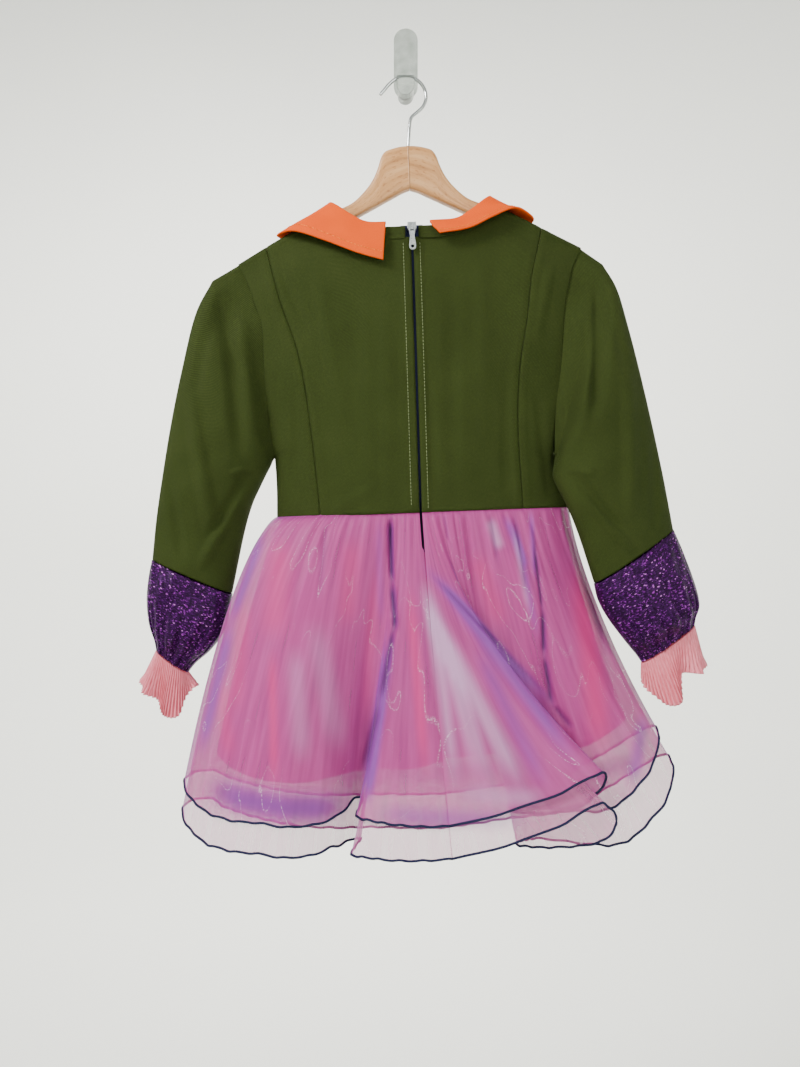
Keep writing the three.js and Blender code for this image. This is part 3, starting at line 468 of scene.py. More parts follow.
class CostumeSizes(bpy.types.PropertyGroup):
    """Sizes that a user would change. Lengths are in millimetres."""

    cloth: FloatProperty(name="Twill", description="Thickness of the green cloth, mm", default=0.9)
    collar: FloatProperty(name="Collar", description="Thickness of the faced collar, mm", default=1.8)
    cuff: FloatProperty(name="Cuff", description="Thickness of the cuff's knit, mm", default=1.0)
    ruffle: FloatProperty(name="Ruffle", description="Thickness of the pleated ruffle, mm", default=0.35)
    stitch: FloatProperty(name="Stitch", description="Length of a topstitch, mm", default=2.6)
    stitch_gap: FloatProperty(name="Gap", description="Gap between topstitches, mm", default=0.8)
    thread: FloatProperty(name="Thread", description="Radius of the sewing thread, mm", default=0.28)
    hem_roll: FloatProperty(name="Hem", description="Radius of the overlocked hem, mm", default=1.25)
    pleats: IntProperty(name="Pleats", description="Pleats round each wrist ruffle", default=56)


class CostumeColours(bpy.types.PropertyGroup):
    """Colours that a user would change, as sRGB hex values."""

    twill: StringProperty(name="Twill", description="Green of the bodice", default="#38421a")
    collar: StringProperty(name="Collar", description="Orange of the collar", default="#e65400")
    cuff: StringProperty(name="Cuff", description="Purple of the cuffs", default="#2e083c")
    # The glint colour is the metallic thread's own tone and is also painted on the cuffs as painted glints
    glint: StringProperty(name="Glint", description="Metallic thread of the cuffs", default="#8a2aa0")
    ruffle: StringProperty(name="Ruffle", description="Pink of the ruffles", default="#e67f90")
    satin: StringProperty(name="Lining", description="Pink of the skirt lining", default="#e03488")
    over: StringProperty(name="Over layer", description="Lilac of the outer organza", default="#b84492")
    under: StringProperty(name="Under layer", description="Rose of the inner organza", default="#bc6298")
    navy: StringProperty(name="Navy", description="Zip tape and hem thread", default="#1e2042")


class CostumeStage(bpy.types.PropertyGroup):
    """The plain room round the costume, in metres and watts."""

    floor_z: FloatProperty(name="Floor", description="Height of the floor", default=-1.6, unit="LENGTH")
    radius: FloatProperty(name="Radius", description="Radius of the room", default=3.6, unit="LENGTH")
    height: FloatProperty(name="Height", description="Height of the room", default=5.0, unit="LENGTH")
    key_power: FloatProperty(name="Key", description="Power of the lamp above the front", default=64.0)
    fill_power: FloatProperty(name="Fill", description="Power of the low front lamp", default=22.0)
    wall_power: FloatProperty(name="Wall", description="Power of the lamp on the far wall", default=150.0)
    paint: StringProperty(name="Paint", description="Matt wall paint", default="#eeefea")


def sizes():
    """The sizes that the pieces are made to."""
    return bpy.context.scene.costume_sizes


def colours():
    """The colours of the finishes."""
    return bpy.context.scene.costume_colours


# Finishes
def green_twill():
    """Polyester twill, piece dyed and pressed. Matt, with a fine diagonal line and a little slub
    in its shade. The line is drawn 1.1 mm apart, twice the real spacing, so that it shows."""
    material, tree, shader = start_material("green_twill_cloth", 0.86)
    uv = add_node(tree, "ShaderNodeUVMap", uv_map="cloth")
    turned = add_node(tree, "ShaderNodeMapping", {"Vector": uv, "Rotation": (0, 0, math.radians(56))})
    rib = add_node(tree, "ShaderNodeTexWave", {
        "Vector": turned, "Scale": bands_per_mm(1.1), "Distortion": 1.2, "Detail": 2.0, "Detail Scale": 2.0,
    }, "Fac", bands_direction="X")
    slub = add_node(tree, "ShaderNodeTexNoise", {
        "Vector": uv, "Scale": per_mm(2.2), "Detail": 3.0, "Roughness": 0.7,
    }, "Fac")
    cloud = add_node(tree, "ShaderNodeTexNoise", {"Vector": uv, "Scale": per_mm(70), "Detail": 2.0}, "Fac")
    shade = add_node(tree, "ShaderNodeMath", {0: rib, 1: slub}, operation="MULTIPLY")
    fine = add_node(tree, "ShaderNodeValToRGB", {"Fac": shade}, stops=[
        (0.05, "#252e10"), (0.5, colours().twill), (0.9, "#465226"),
    ])
    broad = add_node(tree, "ShaderNodeValToRGB", {"Fac": cloud}, stops=[(0.3, "#e9ecdf"), (0.7, "#ffffff")])
    colour = add_node(tree, "ShaderNodeMix", {SHARE: 1.0, FIRST: fine, SECOND: broad}, MIXED, **MULTIPLY)
    relief = add_node(tree, "ShaderNodeBump", {"Strength": 0.35, "Distance": 0.0004, "Height": shade})
    set_inputs(shader, {"Base Color": colour, "Normal": relief})
    return material


def orange_gabardine():
    """Brushed polyester gabardine, faced and pressed. Saturated orange with a soft even nap,
    whose fibres are drawn 0.7 mm across."""
    material, tree, shader = start_material("orange_gabardine", 0.75)
    uv = add_node(tree, "ShaderNodeUVMap", uv_map="cloth")
    nap = add_node(tree, "ShaderNodeTexNoise", {"Vector": uv, "Scale": per_mm(0.7), "Detail": 3.0}, "Fac")
    cloud = add_node(tree, "ShaderNodeTexNoise", {"Vector": uv, "Scale": per_mm(40), "Detail": 1.0}, "Fac")
    fine = add_node(tree, "ShaderNodeValToRGB", {"Fac": nap}, stops=[
        (0.25, "#d44800"), (0.5, colours().collar), (0.8, "#f26402"),
    ])
    broad = add_node(tree, "ShaderNodeValToRGB", {"Fac": cloud}, stops=[(0.3, "#f4ece4"), (0.7, "#ffffff")])
    colour = add_node(tree, "ShaderNodeMix", {SHARE: 1.0, FIRST: fine, SECOND: broad}, MIXED, **MULTIPLY)
    relief = add_node(tree, "ShaderNodeBump", {"Strength": 0.2, "Distance": 0.0003, "Height": nap})
    set_inputs(shader, {"Base Color": colour, "Normal": relief})
    return material


def lurex_knit():
    """Purple stretch knit with a flat metallic thread. The thread turns over from stitch to stitch, so each
    cell of about 1.5 mm catches the light on its own; the brightest cells are also painted lilac as painted
    glints."""
    material, tree, shader = start_material("purple_lurex_knit", 0.42, metallic=0.25)
    uv = add_node(tree, "ShaderNodeUVMap", uv_map="cloth")
    stretched = add_node(tree, "ShaderNodeMapping", {"Vector": uv, "Scale": (1.0, 1.7, 1.0)})
    cell = add_node(tree, "ShaderNodeTexVoronoi", {"Vector": stretched, "Scale": per_mm(1.5)}, "Color")
    tone, slant = add_node(tree, "ShaderNodeSeparateColor", {"Color": cell}).node.outputs[:2]
    # The top stops, the glint colour and #c880d4, are painted glints of the metallic thread in the cells'
    # colour
    dye = add_node(tree, "ShaderNodeValToRGB", {"Fac": tone}, stops=[
        (0.0, "#18041f"), (0.62, colours().cuff), (0.88, "#440e56"), (0.97, colours().glint),
        (1.0, "#c880d4"),
    ])
    relief = add_node(tree, "ShaderNodeBump", {"Strength": 0.9, "Distance": 0.0007, "Height": slant})
    set_inputs(shader, {"Base Color": dye, "Normal": relief})
    return material


def plisse_satin():
    """Heat-pleated polyester satin: pale pink, with a soft gloss that runs along each pleat."""
    material, tree, shader = start_material("pink_plisse_satin", 0.42, gloss=0.25)
    uv = add_node(tree, "ShaderNodeUVMap", uv_map="cloth")
    along = add_node(tree, "ShaderNodeMapping", {"Vector": uv, "Scale": (1.0, 0.12, 1.0)})
    grain = add_node(tree, "ShaderNodeTexNoise", {
        "Vector": along, "Scale": per_mm(0.8), "Detail": 2.0,
    }, "Fac")
    dye = add_node(tree, "ShaderNodeValToRGB", {"Fac": grain}, stops=[
        (0.25, "#c8606e"), (0.5, colours().ruffle), (0.8, "#f09caa"),
    ])
    relief = add_node(tree, "ShaderNodeBump", {"Strength": 0.3, "Distance": 0.0003, "Height": grain})
    set_inputs(shader, {"Base Color": dye, "Normal": relief})
    return material


def lining_satin():
    """Acetate lining satin: warm pink, smooth, with a broad soft gloss."""
    material, tree, shader = start_material("pink_lining_satin", 0.38, gloss=0.3)
    uv = add_node(tree, "ShaderNodeUVMap", uv_map="cloth")
    grain = add_node(tree, "ShaderNodeTexNoise", {"Vector": uv, "Scale": per_mm(1.2), "Detail": 2.0}, "Fac")
    cloud = add_node(tree, "ShaderNodeTexNoise", {"Vector": uv, "Scale": per_mm(60), "Detail": 2.0}, "Fac")
    fine = add_node(tree, "ShaderNodeValToRGB", {"Fac": grain}, stops=[
        (0.3, "#cc2878"), (0.5, colours().satin), (0.8, "#ec4c9c"),
    ])
    broad = add_node(tree, "ShaderNodeValToRGB", {"Fac": cloud}, stops=[(0.3, "#efe6ee"), (0.7, "#ffffff")])
    colour = add_node(tree, "ShaderNodeMix", {SHARE: 1.0, FIRST: fine, SECOND: broad}, MIXED, **MULTIPLY)
    set_inputs(shader, {"Base Color": colour})
    return material


def organza(name, dye, deep, light, cover):
    """Nylon organza: sheer, crisp and shiny, of a shot weave that looks rose where it lies on the lining
    and lilac where it is doubled. Deep folds are painted dark purple as painted shade, and pale cloth is
    painted pale lilac-grey as a painted sheen. Two layers that lie close show a watermark: thin broken
    contour lines of a slow noise, about 1 mm wide. `cover` is how much of the light the threads stop."""
    material, tree, shader = start_material(name, 0.5, gloss=0.25, Sheen_Weight=0.1, Sheen_Roughness=0.35)
    uv = add_node(tree, "ShaderNodeUVMap", uv_map="cloth")
    # The attribute's alpha is the deep folds' share, painted dark as painted shade
    folds, fold_shade = (add_node(tree, "ShaderNodeAttribute", out=part, attribute_name="folds")
                        for part in ("Color", "Alpha"))
    doubled, pale_sheen, rose = add_node(tree, "ShaderNodeSeparateColor", {"Color": folds}).node.outputs
    hung = add_node(tree, "ShaderNodeMapping", {"Vector": uv, "Scale": (1.0, 0.35, 1.0)})
    slow = add_node(tree, "ShaderNodeTexNoise", {
        "Vector": hung, "Scale": per_mm(38), "Detail": 2.0, "Distortion": 0.5,
    }, "Fac")
    contour = add_node(tree, "ShaderNodeMath", {0: slow, 1: 6.0}, operation="MULTIPLY")
    saw = add_node(tree, "ShaderNodeMath", {0: contour, 1: 0.5}, operation="PINGPONG")
    line = add_node(tree, "ShaderNodeMapRange", {
        "Value": saw, "From Min": 0.0, "From Max": 0.035, "To Min": 1.0, "To Max": 0.0,
    })
    glint = add_node(tree, "ShaderNodeTexNoise", {"Vector": uv, "Scale": per_mm(1.3), "Detail": 2.0}, "Fac")
    broken = add_node(tree, "ShaderNodeMapRange", {"Value": glint, "From Min": 0.44, "From Max": 0.66})
    mark = add_node(tree, "ShaderNodeMath", {0: line, 1: broken}, operation="MULTIPLY")
    where = add_node(tree, "ShaderNodeTexNoise", {
        "Vector": uv, "Scale": per_mm(120), "Detail": 1.0,
    }, "Fac")
    patch = add_node(tree, "ShaderNodeMapRange", {
        "Value": where, "From Min": 0.44, "From Max": 0.6, "To Max": 0.75,
    })
    faint = add_node(tree, "ShaderNodeMath", {0: mark, 1: patch}, operation="MULTIPLY")
    tall = add_node(tree, "ShaderNodeMapping", {"Vector": uv, "Scale": (1.0, 0.06, 1.0)})
    thread = add_node(tree, "ShaderNodeTexNoise", {
        "Vector": tall, "Scale": per_mm(6), "Detail": 3.0,
    }, "Fac")
    colour = add_node(tree, "ShaderNodeValToRGB", {"Fac": thread}, stops=[
        (0.25, deep), (0.5, dye), (0.8, light),
    ])
    cover = add_node(tree, "ShaderNodeMapRange", {
        "Value": thread, "From Min": 0.3, "From Max": 0.7, "To Min": cover - 0.05, "To Max": cover + 0.05,
    })
    shades = (
        # Painted sheen: pale cloth is painted pale lilac-grey and made more opaque
        (rose, "#dc3c8e", 0), (doubled, "#88409c", 0.28), (pale_sheen, "#bc8cb8", 0.4),
        # Painted shade: deep folds are painted dark purple and made more opaque
        (fold_shade, "#4c1c58", 0.5), (faint, "#ffe6f6", 0.25),
    )
    for share, shade, gain in shades:
        mixed = {SHARE: share, FIRST: colour, SECOND: linear(shade)}
        colour = add_node(tree, "ShaderNodeMix", mixed, MIXED, data_type="RGBA")
        if gain:
            extra = add_node(tree, "ShaderNodeMath", {0: share, 1: gain}, operation="MULTIPLY")
            cover = add_node(tree, "ShaderNodeMath", {0: cover, 1: extra}, operation="ADD", use_clamp=True)
    set_inputs(shader, {"Base Color": colour, "Alpha": cover})
    return material


def navy_tape():
    """Woven polyester zip tape: navy herringbone, drawn 1 mm apart."""
    material, tree, shader = start_material("navy_zip_tape", 0.75)
    uv = add_node(tree, "ShaderNodeUVMap", uv_map="cloth")
    weave = add_node(tree, "ShaderNodeTexWave", {
        "Vector": uv, "Scale": bands_per_mm(1.0), "Distortion": 0.5,
    }, "Fac", bands_direction="DIAGONAL")
    dye = add_node(tree, "ShaderNodeValToRGB", {"Fac": weave}, stops=[
        (0.2, "#151830"), (0.8, colours().navy),
    ])
    relief = add_node(tree, "ShaderNodeBump", {"Strength": 0.3, "Distance": 0.0002, "Height": weave})
    set_inputs(shader, {"Base Color": dye, "Normal": relief})
    return material


def sewing_thread(name, dark, dye, pitch):
    """Spun polyester sewing thread, plied: its turns show as slanting lines `pitch` mm apart."""
    material, tree, shader = start_material(name, 0.6)
    place = add_node(tree, "ShaderNodeTexCoord", out="Object")
    turns = add_node(tree, "ShaderNodeTexWave", {
        "Vector": place, "Scale": bands_per_mm(pitch), "Distortion": 3.0, "Detail": 1.0,
    }, "Fac", bands_direction="DIAGONAL")
    colour = add_node(tree, "ShaderNodeValToRGB", {"Fac": turns}, stops=[(0.2, dark), (0.8, dye)])
    relief = add_node(tree, "ShaderNodeBump", {"Strength": 0.5, "Distance": 0.0003, "Height": turns})
    set_inputs(shader, {"Base Color": colour, "Normal": relief})
    return material


def cast_metal():
    """Nickel-plated zinc, die cast: bright grey with fine tumbling marks about 0.8 mm long."""
    material, tree, shader = start_material("nickel_plated_zinc", 0.28, metallic=1.0, gloss=0.5)
    place = add_node(tree, "ShaderNodeTexCoord", out="Object")
    marks = add_node(tree, "ShaderNodeTexNoise", {
        "Vector": place, "Scale": per_mm(0.8), "Detail": 3.0,
    }, "Fac")
    tone = add_node(tree, "ShaderNodeValToRGB", {"Fac": marks}, stops=[(0.3, "#8f9499"), (0.7, "#c9ced2")])
    rough = add_node(tree, "ShaderNodeMapRange", {"Value": marks, "To Min": 0.2, "To Max": 0.42})
    set_inputs(shader, {"Base Color": tone, "Roughness": rough})
    return material


def chrome_wire():
    """Drawn steel wire, bright chromium plated, with faint drawing lines."""
    material, tree, shader = start_material("chromed_steel_wire", 0.16, metallic=1.0, gloss=0.5)
    uv = add_node(tree, "ShaderNodeUVMap", uv_map="cloth")
    drawn = add_node(tree, "ShaderNodeMapping", {"Vector": uv, "Scale": (1.0, 0.05, 1.0)})
    lines = add_node(tree, "ShaderNodeTexNoise", {
        "Vector": drawn, "Scale": per_mm(0.5), "Detail": 2.0,
    }, "Fac")
    tone = add_node(tree, "ShaderNodeValToRGB", {"Fac": lines}, stops=[(0.3, "#a3a7aa"), (0.7, "#d5d8da")])
    set_inputs(shader, {"Base Color": tone})
    return material


def beech_wood():
    """Steamed beech, planed, sanded and clear lacquered: pale and warm, with long faint grain
    about 5 mm apart and short darker flecks."""
    material, tree, shader = start_material(
        "lacquered_beech", 0.42, gloss=0.4, Coat_Weight=0.25, Coat_Roughness=0.3)
    uv = add_node(tree, "ShaderNodeUVMap", uv_map="cloth")
    grain_way = add_node(tree, "ShaderNodeMapping", {"Vector": uv, "Scale": (1.0, 0.07, 1.0)})
    grain = add_node(tree, "ShaderNodeTexNoise", {
        "Vector": grain_way, "Scale": per_mm(5), "Detail": 5.0, "Roughness": 0.6, "Distortion": 0.4,
    }, "Fac")
    fleck_way = add_node(tree, "ShaderNodeMapping", {"Vector": uv, "Scale": (1.0, 0.18, 1.0)})
    fleck = add_node(tree, "ShaderNodeTexNoise", {
        "Vector": fleck_way, "Scale": per_mm(1.1), "Detail": 1.0,
    }, "Fac")
    wood = add_node(tree, "ShaderNodeValToRGB", {"Fac": grain}, stops=[
        (0.3, "#a06c3c"), (0.5, "#c48e58"), (0.72, "#d6a672"),
    ])
    spots = add_node(tree, "ShaderNodeValToRGB", {"Fac": fleck}, stops=[
        (0.3, "#c9a680"), (0.42, "#ffffff"),
    ])
    colour = add_node(tree, "ShaderNodeMix", {SHARE: 0.6, FIRST: wood, SECOND: spots}, MIXED, **MULTIPLY)
    relief = add_node(tree, "ShaderNodeBump", {"Strength": 0.15, "Distance": 0.0002, "Height": fleck})
    set_inputs(shader, {"Base Color": colour, "Normal": relief})
    return material


def clear_plastic():
    """Injection-moulded polycarbonate: clear and glossy, with slight flow waves 9 mm across."""
    material, tree, shader = start_material(
        "clear_polycarbonate", 0.12, gloss=0.5, Transmission_Weight=0.85, IOR=1.49)
    place = add_node(tree, "ShaderNodeTexCoord", out="Object")
    flow = add_node(tree, "ShaderNodeTexNoise", {
        "Vector": place, "Scale": per_mm(9), "Detail": 1.0,
    }, "Fac")
    tone = add_node(tree, "ShaderNodeValToRGB", {"Fac": flow}, stops=[(0.3, "#a9b0ac"), (0.7, "#c4cac6")])
    relief = add_node(tree, "ShaderNodeBump", {"Strength": 0.1, "Distance": 0.0005, "Height": flow})
    set_inputs(shader, {"Base Color": tone, "Normal": relief})
    return material


def matt_paint():
    """Matt emulsion on a smooth plaster room, with the faint stipple of a roller."""
    material, tree, shader = start_material("matt_wall_paint", 0.9)
    place = add_node(tree, "ShaderNodeTexCoord", out="Object")
    cloud = add_node(tree, "ShaderNodeTexNoise", {
        "Vector": place, "Scale": per_mm(900), "Detail": 1.0,
    }, "Fac")
    paint = bpy.context.scene.costume_stage.paint
    tone = add_node(tree, "ShaderNodeValToRGB", {"Fac": cloud}, stops=[(0.3, "#ebece7"), (0.7, paint)])
    set_inputs(shader, {"Base Color": tone})
    return material


FINISHES = {}


def finish_of(key):
    """Each finish is made once and shared by its pieces."""
    makers = {
        "twill": green_twill,
        "collar": orange_gabardine,
        "lurex": lurex_knit,
        "plisse": plisse_satin,
        "lining": lining_satin,
        "over": lambda: organza("lilac_organza", colours().over, "#a83c88", "#c652a0", 0.6),
        "under": lambda: organza("rose_organza", colours().under, "#ac5490", "#cc74a8", 0.52),
        "tape": navy_tape,
        "hem_thread": lambda: sewing_thread("navy_overlock_thread", "#1b1d3a", colours().navy, 1.4),
        "green_thread": lambda: sewing_thread("sage_topstitch_thread", "#6f7a52", "#9aa67c", 0.9),
        "orange_thread": lambda: sewing_thread("orange_topstitch_thread", "#c65a00", "#ff9a3a", 0.9),
        "metal": cast_metal,
        "wire": chrome_wire,
        "wood": beech_wood,
        "plastic": clear_plastic,
        "paint": matt_paint,
    }
    if key not in FINISHES:
        FINISHES[key] = makers[key]()
    return FINISHES[key]


# Bodice. Creases of the back and front cloth. Columns: x, z, x, z, height (which sinks where it is above
# 0), half width
BACK_CREASES = [
    (-60, -200, -66, -430, 0.9, 16), (-28, -230, -34, -440, -0.8, 12), (38, -215, 30, -440, 0.8, 13),
    (70, -190, 62, -400, -0.9, 15), (-98, -190, -80, -330, -1.0, 12), (88, -300, 84, -445, 0.8, 10),
    (-40, -420, -96, -446, -0.7, 9), (44, -424, 90, -446, -0.6, 9), (10, -300, 14, -440, 0.5, 7),
    (-118, -330, -132, -445, 0.9, 10), (118, -330, 128, -446, 0.9, 9), (-148, -205, -118, -300, -1.2, 9),
    (140, -200, 118, -290, -1.1, 9), (-135, -200, -104, -270, 0.9, 7), (-12, -440, -14, -449, -0.5, 6),
]
FRONT_CREASES = [
    (-50, -240, -70, -430, -1.0, 17), (20, -250, 30, -440, -0.8, 15), (74, -230, 66, -420, -1.0, 14),
    (-110, -220, -92, -360, -1.1, 12), (120, -230, 108, -380, -0.9, 11), (-10, -380, -8, -446, 0.7, 9),
]


def rows_down(count):
    """Shares down a panel, close together where the cloth rolls over the shoulder."""
    return (np.linspace(0, 1, count) ** 1.5)[None]


def seam_press(off):
    """Relief beside a pressed seam: a narrow valley at the seam and the allowance's soft edge."""
    return 0.7 * bump(off / 2.0) - 0.35 * bump((off - 6) / 4.5)


def centre_back(side):
    """From the zip to the princess seam: back_y on a grid that follows both lines, with the
    folded placket beside the zip standing proud as far as its topstitching."""
    s = SIGN[side]
    r = np.linspace(0, 1, 64)[:, None]
    flat = SEAM_TOP[side] * r
    start = np.where(flat < NECK_SIDE_X, BACK_NECK(flat), shoulder_z(flat))
    z = mix(start, WAIST_Z, rows_down(130))
    x = mix(zip_x(z) + s * ZIP_GAP, s * (PRINCESS[side](-z) - SEAM / 2), r)
    from_zip = np.abs(x - zip_x(z))
    y = back_y(x, z) + BACK_CREASING * creases(x, z, BACK_CREASES) + ripple(x, z, **BACK_RIPPLE)
    placket = PLACKET_RISE * (1 - smooth((from_zip - PLACKET_WIDTH) / 2))
    y = y - placket + 0.9 * bump((from_zip - ZIP_GAP) / 1.1)
    return stack(x, y + seam_press(np.abs(s * x - PRINCESS[side](-z))), z)


def side_back(side):
    """From the princess seam to the armhole and side seam. On the right the cloth is pushed out
    under the sleeve, in a round hump about GUSSET_Z."""
    s = SIGN[side]
    r = np.linspace(0, 1, 30)[:, None]
    start = shoulder_z(mix(SEAM_TOP[side], float(EDGE[side](TIP[side])), r))
    z = mix(start, WAIST_Z, rows_down(130))
    x = s * mix(PRINCESS[side](-z) + SEAM / 2, EDGE[side](-z) - SEAM / 2, r)
    near = np.minimum(1, (EDGE[side](-z) - s * x) / 12)
    if side == "right":
        x = x + GUSSET_OUT * bump((z - GUSSET_Z) / 15) * r
    uneven = BACK_CREASING * creases(x, z, BACK_CREASES) + ripple(x, z, **BACK_RIPPLE)
    y = back_y(x, z) + near * uneven
    return stack(x, y + seam_press(np.abs(s * x - PRINCESS[side](-z))), z)


def front_cloth():
    """One piece from side seam to side seam, on front_y, with its own hung creases."""
    c = np.linspace(-1, 1, 120)[:, None]
    left = c < 0
    tip = np.where(left, float(EDGE["left"](TIP["left"])), float(EDGE["right"](TIP["right"])))
    share = np.abs(c)
    top_x = np.where(share <= 0.5, share * 2 * NECK_SIDE_X, mix(NECK_SIDE_X, tip, (share - 0.5) * 2))
    start = np.where(top_x < NECK_SIDE_X, FRONT_NECK(top_x), shoulder_z(top_x)) - 0.9
    z = mix(start, WAIST_Z, rows_down(110))
    edge = np.where(left, EDGE["left"](-z), EDGE["right"](-z)) - SEAM / 2
    x = np.where(left, -1, 1) * edge * top_x / tip
    inside = np.minimum(1, (edge - np.abs(x)) / 15) * smooth((start - z) / 60)
    y = front_y(x, z) + 1.8 * (1 - smooth((start - z) / 8)) - inside * np.abs(creases(x, z, FRONT_CREASES))
    return stack(x, y, z)


# Neck loops. Columns: share from the zip to the centre front, |x|, y, z
BAND_FOOT = [
    (0, 6.5, -45, -175.2), (0.12, 25, -44.5, -174.9), (0.26, 48, -42, -171.2), (0.38, 67, -38, -161.5),
    (0.48, 81, -33, -146), (0.56, 87.5, -22, -137.8), (0.6, 85.5, -13.5, -145), (0.64, 81, -10.5, -156),
    (0.74, 66, -8, -178), (0.86, 44, -6.5, -195), (1, 0, -6.5, -205),
]
BAND_TOP = [
    (0, 6.5, -44, -164.5), (0.12, 24, -43.5, -164.2), (0.26, 45, -41, -162), (0.38, 61, -37, -152),
    (0.48, 74, -31.5, -140.5), (0.56, 80.5, -23, -134.5), (0.6, 79, -15.5, -138.5), (0.64, 75, -12.5, -147),
    (0.74, 60, -10, -167), (0.86, 40, -8.5, -184.5), (1, 0, -8.5, -194),
]
# The collar halves' outer edges. Columns: share from the zip to the centre front, |x|, y, z
COLLAR_EDGE = {
    "left": [
        (0, 29.5, -54.5, -200.5), (0.14, 55, -54, -192), (0.3, 88, -49, -176.5), (0.44, 118, -39.5, -163),
        (0.52, 134, -28, -161), (0.58, 137, -18, -163), (0.66, 124, -7, -172), (0.78, 96, -3.4, -193),
        (0.9, 58, -3.4, -216), (1, 22, -3.4, -231),
    ],
    "right": [
        (0, 27, -54, -176), (0.14, 56, -54, -172), (0.3, 82, -48, -159), (0.44, 106, -38, -148),
        (0.52, 121, -28, -152), (0.58, 126, -18, -156), (0.66, 116, -7, -168), (0.78, 92, -3.4, -190),
        (0.9, 56, -3.4, -214), (1, 22, -3.4, -230),
    ],
}
# Where the collar halves start, as a share of the way along the band
COLLAR_START = {"left": 0.13, "right": 0.08}
# Across the collar. Columns: step, share from fold to edge, stand-off from the band, rise
COLLAR_ACROSS = [
    (0, 0, 0, 2.8), (1, 0, 1.8, 3.8), (2, 0.03, 3.6, 2.2), (3, 0.3, 4.2, 0), (4, 0.65, 2.6, 0),
    (5, 1, 0, 0),
]


def loop_at(rows, t):
    """Point of a neck loop at a share t along it."""
    return stack(through(rows, 1)(t), through(rows, 2)(t), through(rows, 3)(t))


def neck_band():
    """The band from the zip round the left side, the front and the right back to the zip. It
    laps a quarter of its height over the panels' edge, 0.8 mm outside them."""
    round_neck = np.linspace(0, 2, 200)
    t = np.where(round_neck <= 1, round_neck, 2 - round_neck)
    sign = np.where(round_neck <= 1, -1.0, 1.0)[:, None]
    foot, top = loop_at(BAND_FOOT, t), loop_at(BAND_TOP, t)
    w = np.linspace(0, 1.25, 15)[None, :, None]
    points = mix(top[:, None], foot[:, None] + np.array([0, 0, 0.4]), w)
    away = unit((foot - NECK_MIDDLE) * LEVEL)[:, None]
    points = points + 0.8 * smooth((w - 0.75) / 0.25) * away
    return stack(points[..., 0] * sign, points[..., 1], points[..., 2])


def clear_of_body(x, y, z, gap):
    """Keeps the collar above the rolled shoulder, or outside the back or front cloth."""
    axis = shoulder_z(x) - ROLL
    off_y, off_z = y - hanger_y(x), z - axis
    away = np.hypot(off_y, off_z)
    reach = ROLL + gap + 2.7
    push = np.where(away < reach, reach / np.maximum(away, 1e-6), 1)
    bend = gap + 3 * (1 - smooth((axis - z) / 25))
    behind = np.minimum(y, back_y(x, z) - bend)
    before = np.maximum(y, front_y(x, z) + bend)
    low_y = np.where(y < hanger_y(x), behind, before)
    above = z > axis
    y = np.where(above, hanger_y(x) + off_y * push, low_y)
    return stack(x, y, np.where(above, axis + off_z * push, z))


def collar_half(side):
    """From its fold on the band's top edge down to the outer edge, standing off by COLLAR_ACROSS
    along the level direction across the fold."""
    s = SIGN[side]
    t = np.linspace(0, 1, 110)[:, None]
    w = np.linspace(0, 5, 56)[None]
    share, out, up = (through(COLLAR_ACROSS, c)(w) for c in (1, 2, 3))
    fold = mix(COLLAR_START[side], 0.93, t)
    top, edge = loop_at(BAND_TOP, fold), loop_at(COLLAR_EDGE[side], t)
    ahead = loop_at(BAND_TOP, fold + 0.03) - loop_at(BAND_TOP, fold - 0.03)
    along = unit(ahead[..., :2])
    across = stack(-along[..., 1], along[..., 0], 0 * along[..., 0])
    turn = np.where(np.sum(across * (edge - NECK_MIDDLE), axis=-1) < 0, -1, 1)
    x = s * (mix(top[..., 0], edge[..., 0], share) + turn * across[..., 0] * out)
    y = mix(top[..., 1], edge[..., 1], share) + turn * across[..., 1] * out
    z = mix(top[..., 2], edge[..., 2], share) + up
    lying = smooth(w - 2)[..., None]
    return mix(stack(x, y, z), clear_of_body(x, y, z, 2.3), lying)


# Sleeves. Columns: ring, outer x, z, y, inner x, z, y, out to the viewer, out to the wall
SLEEVE_RINGS = {
    "left": [
        (1, -205, -204, -17, -150.5, -390, -24, 24, 13), (2, -222, -240, -24, -153, -396, -26, 28, 19),
        (3, -237, -298, -29, -158, -405, -27, 29, 22), (4, -249, -350, -31, -165, -418, -27, 29, 23),
        (5, -259, -398, -31, -173.5, -435, -26, 27, 22), (6, -268, -444, -30, -183, -464, -25, 24, 19),
        (7, -274.5, -485.5, -28, -197.5, -523, -25, 21, 17),
    ],
    "right": [
        (1, 194, -203, -17, 134.5, -399, -42, 22, 12), (2, 205, -232, -26, 131.5, -409, -49, 28, 14),
        (3, 214, -278, -33, 129, -420, -54, 30, 15), (4, 223, -325, -36, 133, -433, -58, 29, 15),
        (5, 232, -376, -38, 140, -449, -61, 28, 15), (6, 241, -430, -39, 150, -477, -62, 25, 14),
        (7, 247.5, -476, -40, 163.5, -525, -62, 22, 14),
    ],
}
CUFF_RINGS = {
    "left": [
        (0, -275, -486.5, -28, -197.5, -524.6, -25, 22, 18), (1, -279, -505, -28, -201, -542, -26, 25, 19),
        (2, -281.5, -524, -28, -207, -562, -27, 26, 19), (3, -280, -549, -28, -221, -580, -28, 23, 18),
        (4, -276, -567, -28, -236, -592, -28, 15, 13), (5, -274.5, -577, -28, -244, -601, -28, 12, 11),
    ],
    "right": [
        (0, 248, -477, -40, 163.5, -526.6, -62, 23, 15), (1, 256, -500, -42, 167, -542, -61, 26, 18),
        (2, 264, -526, -44, 176, -560, -60, 27, 20), (3, 268, -550, -46, 192, -583, -58, 24, 18),
        (4, 265, -563, -47, 203, -597, -55, 15, 13), (5, 263, -571, -48, 208.5, -605, -54, 12, 11),
    ],
}
